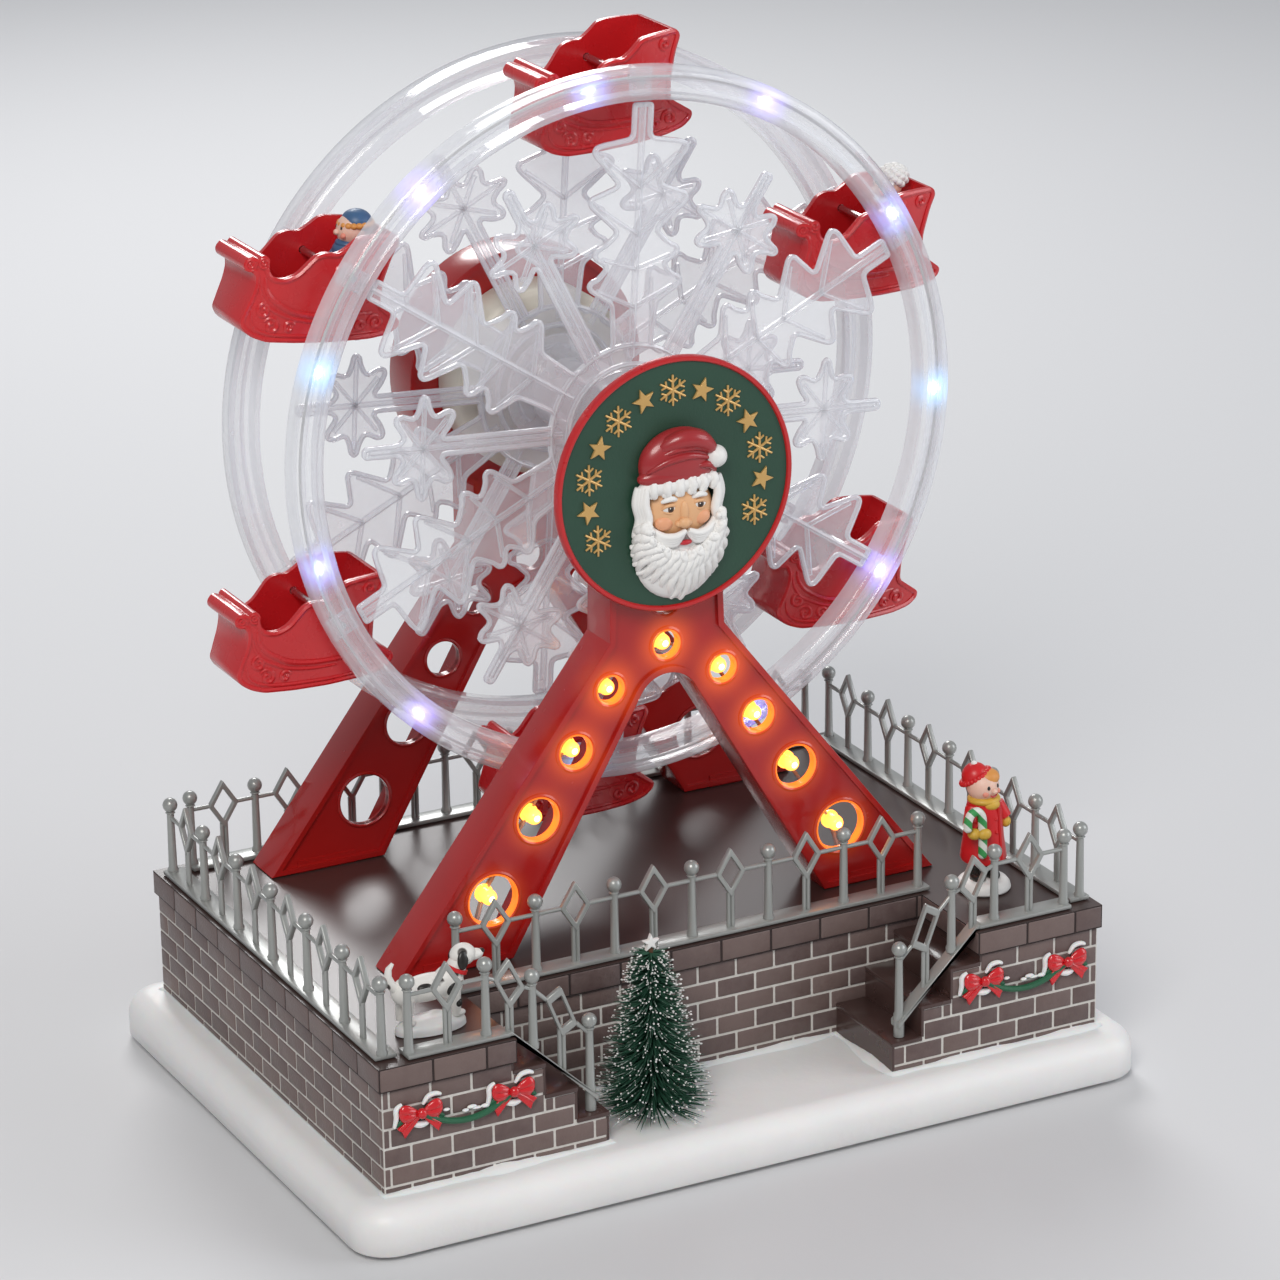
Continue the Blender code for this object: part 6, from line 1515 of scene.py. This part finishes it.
def rider(name, node, body, place, coat, hat, fluffy):
    """A small seated figure about the sleigh's pin, in a cap or a fluffy white hat."""
    piece = Piece(name)
    seat, lean_back = -10.1, 0.23

    def at(x, y, z):
        return (x + lean_back * z) * MM, y * MM, (seat + z) * MM

    lump, limb = modeller(piece, at, place)
    limb((4.4, 0, 0.1), (4.4, 0, 13.6), 4.8, 3.1, coat)
    lump(4.4, 0, 12.6, (3.8, 4.6, 2.9), coat)
    for side in (-1, 1):
        limb((3.6, side * 2.2, 2.4), (0.2, side * 2.4, 2.6), 2.2, 1.9, BROWN)
        lump(0.2, side * 2.4, 2.6, (1.9, 1.9, 1.9), BROWN)
        limb((4.4, side * 3.9, 12.2), (1.6, side * 4.6, 7.2), 1.8, 1.5, coat)
        lump(1.3, side * 4.4, 6.8, (1.6, 1.5, 1.5), hat)
    lump(4.3, 0, 14.6, (3.6, 3.6, 1.5), hat if fluffy else coat)
    lump(4.0, 0, 18.2, (4.0, 4.1, 4.4), SKIN)
    lump(0.1, 0, 17.6, (0.8, 0.8, 0.8), SKIN)
    for side in (-1, 1):
        lump(0.45, side * 1.5, 18.9, (0.4, 0.45, 0.6), DARK)
        lump(1.0, side * 2.3, 17.0, (0.7, 0.9, 0.8), CHEEK)
    lump(5.0, 0, 20.4, (4.2, 4.3, 3.4), hat)
    if fluffy:
        golden = math.pi * (3 - math.sqrt(5))
        tufts = 46
        for i in range(tufts):
            height = 1 - 1.35 * (i + 0.5) / tufts
            reach = math.sqrt(1 - height * height)
            x, y = 4.8 + 3.9 * reach * math.cos(golden * i), 4.1 * reach * math.sin(golden * i)
            lump(x, y, 20.3 + 3.4 * height, (1.1, 1.1, 1.0), hat)
    else:
        for i in range(18):
            angle = 2 * math.pi * i / 18
            ahead, across = math.cos(angle), math.sin(angle)
            lump(4.8 + 4.0 * ahead, 4.1 * across, 20.0 + 0.4 * ahead, (1.0, 1.0, 0.9), HAIR)
    piece.done(body, [node])


def sleighs():
    mesh = sleigh_mesh()
    for i in range(6):
        angle = PHASE + math.pi / 3 * i
        pin = (PIVOT_RADIUS * math.cos(angle), AXLE.y, AXLE.z + PIVOT_RADIUS * math.sin(angle))
        place = Matrix.Translation(pin) @ Matrix.Rotation(math.radians(SLEIGH_SWAY[i]), 4, "Y")
        body = f"sleigh_{i + 1}_body"
        piece = Piece(f"red_sleigh_{i + 1}")
        piece.add(mesh, SLEIGH_RED, place)
        piece.done(body, [f"sleigh_{i + 1}"])
        if i == 1:
            rider("seated_child_blue", "passenger_blue", body, place, BLUE, BLUE, False)
        if i == 5:
            rider("seated_child_white_hat", "passenger_white_hat", body, place, COAT_RED, WHITE, True)


# Figures and ornaments

def child():
    """A child in a red coat and cap, with yellow scarf and gloves and a striped stick with a hook."""
    piece = Piece("standing_child")
    origin = Vector((88.5 * MM, -50.0 * MM, DECK + 0.3 * MM))

    def at(x, y, z):
        return origin + Vector((x, y, z)) * MM

    lump, limb = modeller(piece, at)

    def on_face(turn, reach, z):
        """A place on the head, turned from where the face looks."""
        angle = math.radians(14 + turn)
        return -0.6 + reach * math.sin(angle), -0.3 - reach * math.cos(angle), z

    base = [(0.0, 3.0), (5.6, 3.0), (6.8, 2.6), (7.6, 1.6), (7.9, 0.4), (7.7, 0.0), (0.0, 0.0)]
    piece.add(lathe(metres(base), 40, Matrix.Translation(origin)), WHITE)
    for side in (-1, 1):
        limb((side * 2.3, 0, 2.6), (side * 2.3, 0, 11), 1.8, 2.0, DARK)
        lump(side * 2.4, -1.1, 3.8, (1.9, 2.9, 1.6), DARK)
    coat = [
        (0.0, 27.4), (3.0, 27.2), (4.6, 26.0), (5.3, 23.0), (5.5, 19.0), (5.8, 15.5), (6.3, 12.0), (6.6, 9.6),
        (6.3, 8.8), (5.2, 8.6), (0.0, 9.4),
    ]
    piece.add(lathe(metres(coat), 40, Matrix.Translation(origin)), COAT_RED)
    for k in range(3):
        lump(0.9, -5.35 - 0.3 * k, 22.0 - 3.8 * k, (0.45, 0.35, 0.45), COAT_RED)
    front_edge = flowing([at(2.0, -4.8, 25.0), at(2.2, -5.1, 20.0), at(2.4, -5.5, 15.0), at(2.6, -6.1, 9.6)])
    piece.add(tube(front_edge, 0.45 * MM), COAT_RED)
    lump(-0.2, -0.4, 27.0, (4.7, 4.6, 1.8), SCARF)
    lump(0.4, -3.9, 26.0, (2.4, 1.4, 1.5), SCARF)
    lump(-0.6, -0.3, 31.0, (4.6, 4.6, 4.6), SKIN)
    lump(*on_face(0, 4.8, 30.4), (0.8, 0.8, 0.8), SKIN)
    for side in (-1, 1):
        lump(*on_face(side * 22, 4.4, 31.5), (0.5, 0.4, 0.65), DARK)
        lump(*on_face(side * 32, 4.15, 29.7), (1.0, 0.7, 0.9), CHEEK)
    smile = [at(*on_face(turn, 4.55, z)) for turn, z in ((-14, 29.2), (-5, 28.8), (5, 28.8), (14, 29.2))]
    piece.add(tube(flowing(smile), 0.25 * MM), MOUTH)
    lump(0.6, -1.2, 33.5, (3.3, 3.1, 2.4), HAIR)
    lump(*on_face(30, 3.0, 33.7), (1.8, 1.7, 1.6), HAIR)
    cap = Vector((-1.9, 1.5, 33.4))
    lump(*cap, (3.9, 3.9, 3.9), COAT_RED, (0.22, -0.3, 0.0))
    for i in range(24):
        angle = 2 * math.pi * i / 24
        c, s = math.cos(angle), math.sin(angle)
        edge = cap + Vector((3.7 * c, 3.7 * s, 1.7 * c - 1.3 * s - 0.2))
        lump(*edge, (0.9, 0.9, 0.85), COAT_RED)
    lump(-2.3, 1.6, 37.2, (0.9, 0.9, 0.7), WHITE)
    limb((4.0, -0.4, 24.8), (5.9, -1.6, 20.8), 2.1, 2.0, COAT_RED)
    lump(6.0, -2.0, 19.4, (1.5, 1.5, 1.7), SCARF)
    limb((-4.0, -0.6, 24.8), (-6.0, -2.4, 20.6), 2.1, 2.0, COAT_RED)
    limb((-6.0, -2.4, 20.6), (-5.0, -5.2, 19.8), 2.0, 1.8, COAT_RED)
    lump(-4.4, -8.0, 19.6, (2.0, 1.3, 1.6), SCARF)
    lump(-6.6, -6.0, 19.4, (1.9, 2.0, 1.6), SCARF)
    hook = [
        (-4.2, 13.0), (-4.2, 17.0), (-4.3, 21.0), (-4.6, 24.4), (-6.0, 26.2), (-8.0, 25.8), (-9.0, 23.8),
        (-9.1, 21.8),
    ]
    hook = [at(x, -6.6, z) for x, z in hook]
    radius = 1.3 * MM
    piece.add(tube(flowing(hook), radius, sides=18), PARCEL)
    for end in (hook[0], hook[-1]):
        piece.add(ball(end, radius, around=18, along=12), PARCEL)
    piece.done("base", ["child_figure"])


def dog():
    """A spotted dog that stands on a mound of snow."""
    piece = Piece("standing_dog")
    origin = Vector((-88.0 * MM, -60.0 * MM, DECK + 0.3 * MM))
    lowered = 0.84

    def at(x, y, z):
        return origin + Vector((x, y, z * lowered)) * MM

    lump, limb = modeller(piece, at, paint=DOG)
    mound = bmesh.new()
    bmesh.ops.create_uvsphere(mound, u_segments=48, v_segments=24, radius=1.0)
    for v in mound.verts:
        level = max(v.co.z, 0.0)
        wave = 0.1 * noise.noise(Vector((v.co.x * 2.2, v.co.y * 2.2, 4.0)))
        height = lowered * level ** 0.55 * (4.6 + 8 * wave)
        v.co = Vector((v.co.x * 10.2, v.co.y * 5.1, height)) * MM + origin
    bmesh.ops.remove_doubles(mound, verts=mound.verts, dist=0.01 * MM)
    piece.add(from_bmesh(mound), SNOW)
    top = 4.2
    for x, lean in ((-7.2, -0.6), (6.2, 0.5)):
        for side in (-1, 1):
            limb((x + lean, side * 2.2, top - 0.4), (x, side * 2.2, top + 8.6), 1.15, 1.75)
            lump(x + lean + 0.7, side * 2.2, top + 0.3, (1.8, 1.3, 1.0))
    lump(-0.6, 0, top + 10.0, (9.4, 3.6, 3.8))
    lump(5.4, 0, top + 10.4, (4.3, 3.7, 4.6))
    lump(-6.8, 0, top + 9.9, (4.2, 3.7, 3.9))
    lump(5.2, -3.1, top + 9.4, (1.5, 1.1, 2.1), DARK, (0.0, 0.4, 0.0))
    lump(-2.6, -2.6, top + 11.6, (2.3, 1.3, 1.1), DARK)
    lump(6.9, -2.9, top + 4.2, (1.1, 1.2, 1.3), DARK)
    lump(-5.0, 2.6, top + 11.2, (2.0, 1.5, 1.5), DARK)
    limb((6.2, 0, top + 11.4), (9.2, 0, top + 17.6), 3.1, 2.4)
    lump(9.9, 0, top + 18.6, (3.6, 3.0, 3.1))
    lump(13.0, 0, top + 17.8, (2.9, 1.7, 1.6))
    lump(15.4, 0, top + 18.5, (0.9, 0.9, 0.7), DARK)
    for side in (-1, 1):
        lump(8.7, side * 2.7, top + 18.0, (1.6, 0.8, 2.6), DARK, (side * 0.25, 0.2, 0.0))
        lump(11.7, side * 1.9, top + 19.6, (0.5, 0.45, 0.5), DARK)
    tail = ((-9.4, 11.2), (-11.2, 13.6), (-12.0, 16.4), (-11.6, 19.0), (-10.4, 20.6))
    curl = [at(x, 0, top + z) for x, z in tail]
    piece.add(tube(curl, 1.35 * MM, sides=16, taper=[1.1, 1.0, 0.85, 0.65, 0.35]), DOG)
    collar = metres([(2.9, -0.6), (3.35, -0.5), (3.35, 0.5), (2.9, 0.6)])
    lean = Matrix.Translation(at(7.7, 0, top + 14.4)) @ Matrix.Rotation(math.radians(26), 4, "Y")
    piece.add(lathe(collar, 32, lean), COAT_RED)
    piece.done("base", ["dog_on_mound"])


def tree():
    """A bottle-brush fir with uneven bristles, flecks of frost and a white star."""
    x0, y0, low, tall = -24.5 * MM, -64.5 * MM, SNOW_TOP + 0.3 * MM, 52.0 * MM
    chooser = random.Random(11)
    strand = lathe([(0.0, 1.0), (0.10, 0.6), (0.14, 0.0), (0.0, 0.0)], 4)
    tip = strand.attributes.new("tip", "FLOAT", "POINT")
    tip.data.foreach_set("value", [v.co.z for v in strand.vertices])
    places, amounts, flecks = [], [], []
    count = 1900
    for i in range(count):
        share = (i + 0.5) / count
        height = low + 2.4 * MM + (tall - 7.4 * MM) * share
        reach = 18.3 * MM * (1.0 - 0.70 * share ** 1.15) * chooser.triangular(0.66, 1.04, 0.96)
        droop = math.radians(max(-5.0 - 60.0 * share, chooser.gauss(1.0 - 5.0 * (1 - share), 8.0)))
        turn = chooser.uniform(0.0, 2 * math.pi)
        places.append(((x0, y0, height), (0.0, math.pi / 2 - droop, turn), (2.5 * MM, 2.5 * MM, reach)))
        amounts.append(chooser.uniform(0.1, 0.9))
        out = Vector((math.cos(droop) * math.cos(turn), math.cos(droop) * math.sin(turn), math.sin(droop)))
        for lowest, odds in ((0.93, 0.42), (0.62, 0.26)):
            if chooser.random() < odds:
                share_out = chooser.uniform(lowest, min(1.0, lowest + 0.25))
                place = Vector((x0, y0, height)) + out * reach * share_out
                size = chooser.uniform(0.17, 0.31) * MM
                flecks.append((tuple(place), (chooser.uniform(0, 3), 0.0, turn), (size * 1.5, size, size)))
    bristles = scatter(strand, places, ("amount", amounts))
    values = [0.0] * len(bristles.vertices)
    bristles.attributes["tip"].data.foreach_get("value", values)
    strengths = [0.0] * len(values)
    bristles.attributes["amount"].data.foreach_get("value", strengths)
    frosted = bristles.attributes.new("frost", "FLOAT", "POINT")
    frosted.data.foreach_set("value", [t * a for t, a in zip(values, strengths)])
    grain = bmesh.new()
    bmesh.ops.create_icosphere(grain, subdivisions=1, radius=1.0)
    piece = Piece("frosted_tree")
    piece.add(bristles, NEEDLES)
    piece.add(scatter(from_bmesh(grain), flecks, ("amount", [1.0] * len(flecks))), WHITE)
    piece.add(rod((x0, y0, low), (x0, y0, low + tall - 4 * MM), 1.2 * MM, 0.7 * MM), BROWN)
    foot = metres([(0.0, 2.6), (3.4, 2.2), (4.6, 0.9), (5.0, 0.0), (0.0, 0.0)])
    piece.add(lathe(foot, 32, Matrix.Translation((x0, y0, low))), WHITE)
    star = star_outline((x0, low + tall - 2.3 * MM), 2.6 * MM, 5, 0.42)
    piece.add(upright([star], y0 - 0.8 * MM, y0 + 0.8 * MM, 0.3 * MM), WHITE)
    piece.done("base", ["bottle_brush_tree"])


def bow_loop(side):
    """One plump loop of a bow about its knot, wider and folded towards its far end."""
    shape = bmesh.new()
    bmesh.ops.create_uvsphere(shape, u_segments=32, v_segments=20, radius=1.0)
    for v in shape.verts:
        out = (v.co.x + 1) / 2
        fold = 1 - 0.4 * math.exp(-((v.co.z / 0.2) ** 2))
        fold = fold - 0.2 * math.exp(-(((abs(v.co.z) - 0.62) / 0.12) ** 2))
        rise = v.co.z * (1.0 + 2.4 * out ** 0.8) + 0.8 * out
        v.co = Vector((side * (0.3 + 6.0 * out), v.co.y * (0.8 + 0.8 * out) * fold - 1.1, rise)) * MM
    return from_bmesh(shape)


def bow(piece, x, y, z):
    """A ribbon bow on curls of snow: two loops, a knot and two notched tails."""
    here = Matrix.Translation((x, y, z))
    for side in (-1, 1):
        piece.add(bow_loop(side), RIBBON, here)
        tail = [(0.0, -0.9), (1.3, 0.3), (6.9, -3.4), (5.6, -4.4), (4.9, -6.3)]
        tail = rounded([(side * u * MM, v * MM) for u, v in tail], 0.3 * MM, 2)
        piece.add(upright([tail], -1.5 * MM, -0.4 * MM, 0.25 * MM), RIBBON, here)
        crease = ((0.8, -0.4), (3.2, -2.2), (5.7, -4.2))
        crease = flowing([(side * u * MM, -1.5 * MM, v * MM) for u, v in crease])
        piece.add(tube(crease, 0.3 * MM, taper=swell(len(crease))), RIBBON, here)
        leaf_place, leaf_size = (side * 5.0 * MM, -0.5 * MM, -1.6 * MM), (2.4 * MM, 0.5 * MM, 0.8 * MM)
        piece.add(ball(leaf_place, leaf_size, (0.0, side * 0.5, 0.0)), HOLLY, here)
    piece.add(ball((0.0, -1.8 * MM, 0.1 * MM), (1.4 * MM, 1.3 * MM, 1.5 * MM)), RIBBON, here)
    curls = (
        (0.75, ((-5.2, 3.4), (-6.8, 2.2), (-6.9, -0.4), (-7.6, -3.0))),
        (0.7, ((0.8, 2.0), (2.4, 4.0), (4.6, 4.4), (6.2, 3.8))),
        (0.95, ((-2.2, -3.0), (0.0, -3.6), (2.4, -3.2))),
    )
    for radius, points in curls:
        line = flowing([(u * MM, -0.5 * MM, v * MM) for u, v in points])
        piece.add(tube(line, radius * MM, sides=12, taper=swell(len(line), 0.5)), SNOW, here)


def garland(name, node, mirror):
    """A thin green swag between two bows, with a little snow on it."""
    piece = Piece(name)
    chooser = random.Random(5)
    wall = -BRICK_BACK - 0.3 * MM
    z = SNOW_TOP + 22.4 * MM
    middle, half = mirror * 86.0 * MM, 13.5 * MM

    def sag(share):
        return z - 5.0 * MM * (1 - share * share)

    swag = [(middle + t * half, wall - 0.9 * MM, sag(t)) for t in (k / 12 - 1 for k in range(25))]
    piece.add(tube(swag, 0.9 * MM, sides=12), HOLLY)
    for _ in range(5):
        share = chooser.uniform(-0.45, 0.45)
        radii = (chooser.uniform(0.8, 1.6) * MM, 0.6 * MM, chooser.uniform(0.35, 0.6) * MM)
        place = (middle + share * half, wall - 0.6 * MM, sag(share) + chooser.uniform(1.6, 3.2) * MM)
        piece.add(ball(place, radii, around=14, along=8), SNOW)
    for side in (-1, 1):
        bow(piece, middle + side * half, wall, z)
    piece.done("base", [node])


def repaint():
    """Finishes for the CAD nodes that stay in view."""
    finishes = {
        "brick_platform": WALL, "bottom_plate": BLACK, "battery_door": BLACK, "speaker": BLACK,
        "music_board": BOARD, "switch_slider": BLACK, "switch_housing": STEEL, "gear_motor": STEEL,
        "motor_pinion": BRONZE, "axle_gear": NYLON, "front_bearing": BRONZE, "rear_bearing": BRONZE,
        "slip_ring": BRONZE, "wheel_axle": STEEL,
    }
    for i in range(1, 4):
        finishes[f"battery_cell_{i}"] = STEEL
    for i in range(1, 5):
        finishes[f"rubber_foot_{i}"] = RUBBER
    for i in range(1, 7):
        finishes[f"sleigh_pin_{i}"] = STEEL
    for name, material in finishes.items():
        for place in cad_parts[name].material_slots:
            place.material = material


# Studio

def area_light(name, place, target, size, power, colour):
    light = bpy.data.lights.new(name, "AREA")
    light.shape = "DISK"
    light.size = size
    light.energy = power
    light.color = colour
    lamp = bpy.data.objects.new(name, light)
    bpy.context.scene.collection.objects.link(lamp)
    lamp.location = place
    lamp.rotation_euler = (Vector(target) - Vector(place)).to_track_quat("-Z", "Y").to_euler()


def studio():
    scene = bpy.context.scene
    shape = bmesh.new()
    bmesh.ops.create_grid(shape, x_segments=1, y_segments=1, size=4.0)
    floor = bpy.data.objects.new("studio_floor", from_bmesh(shape))
    graph = Graph("pale_floor")
    graph.set("Base Color", (0.66, 0.66, 0.67))
    graph.set("Roughness", 0.7)
    floor.data.materials.append(graph.material)
    scene.collection.objects.link(floor)
    world = bpy.data.worlds.new("studio_world")
    world.use_nodes = True
    background = world.node_tree.nodes["Background"]
    background.inputs["Color"].default_value = (0.80, 0.83, 0.88, 1.0)
    background.inputs["Strength"].default_value = 0.42
    scene.world = world
    middle = (0.0, 0.0, 0.14)
    area_light("key_light", (-0.75, -0.95, 1.15), middle, 0.7, 13.0, (1.0, 0.97, 0.93))
    area_light("fill_light", (1.1, -0.75, 0.6), middle, 0.9, 6.0, (0.93, 0.96, 1.0))
    area_light("rim_light", (0.35, 1.15, 0.9), middle, 0.6, 9.0, (1.0, 1.0, 1.0))
    scene.view_settings.view_transform = "Standard"
    scene.view_settings.look = "None"


def place_camera():
    """The camera that the photograph was solved for, from the platform's edges."""
    scene = bpy.context.scene
    camera_data = bpy.data.cameras.new("camera")
    camera_data.sensor_width = 36.0
    focal_length, picture_width = 5015.86, 1280
    camera_data.lens = focal_length / picture_width * camera_data.sensor_width
    camera_data.clip_start = 0.05
    camera_data.clip_end = 20.0
    azimuth, elevation, roll = (math.radians(a) for a in (-27.187, 20.208, -0.900))
    outwards = math.cos(elevation)
    back = Vector((math.sin(azimuth) * outwards, -math.cos(azimuth) * outwards, math.sin(elevation)))
    level = Vector((math.cos(azimuth), math.sin(azimuth), 0.0))
    rise = back.cross(level)
    right = level * math.cos(roll) + rise * math.sin(roll)
    up = rise * math.cos(roll) - level * math.sin(roll)
    camera = bpy.data.objects.new("camera", camera_data)
    camera.matrix_world = Matrix((right, up, back)).transposed().to_4x4()
    target, distance = Vector((6.911 * MM, 0.0, 73.153 * MM + DECK)), 1.39355
    camera.matrix_world.translation = target + back * distance
    scene.collection.objects.link(camera)
    scene.camera = camera


snow_ground()
bricks()
paving()
fences()
a_frames()
amber_lamps()
sign()
relief()
wheel()
sleighs()
child()
dog()
tree()
garland("left_bows", "left_garland", -1)
garland("right_bows", "right_garland", 1)
repaint()
studio()
place_camera()
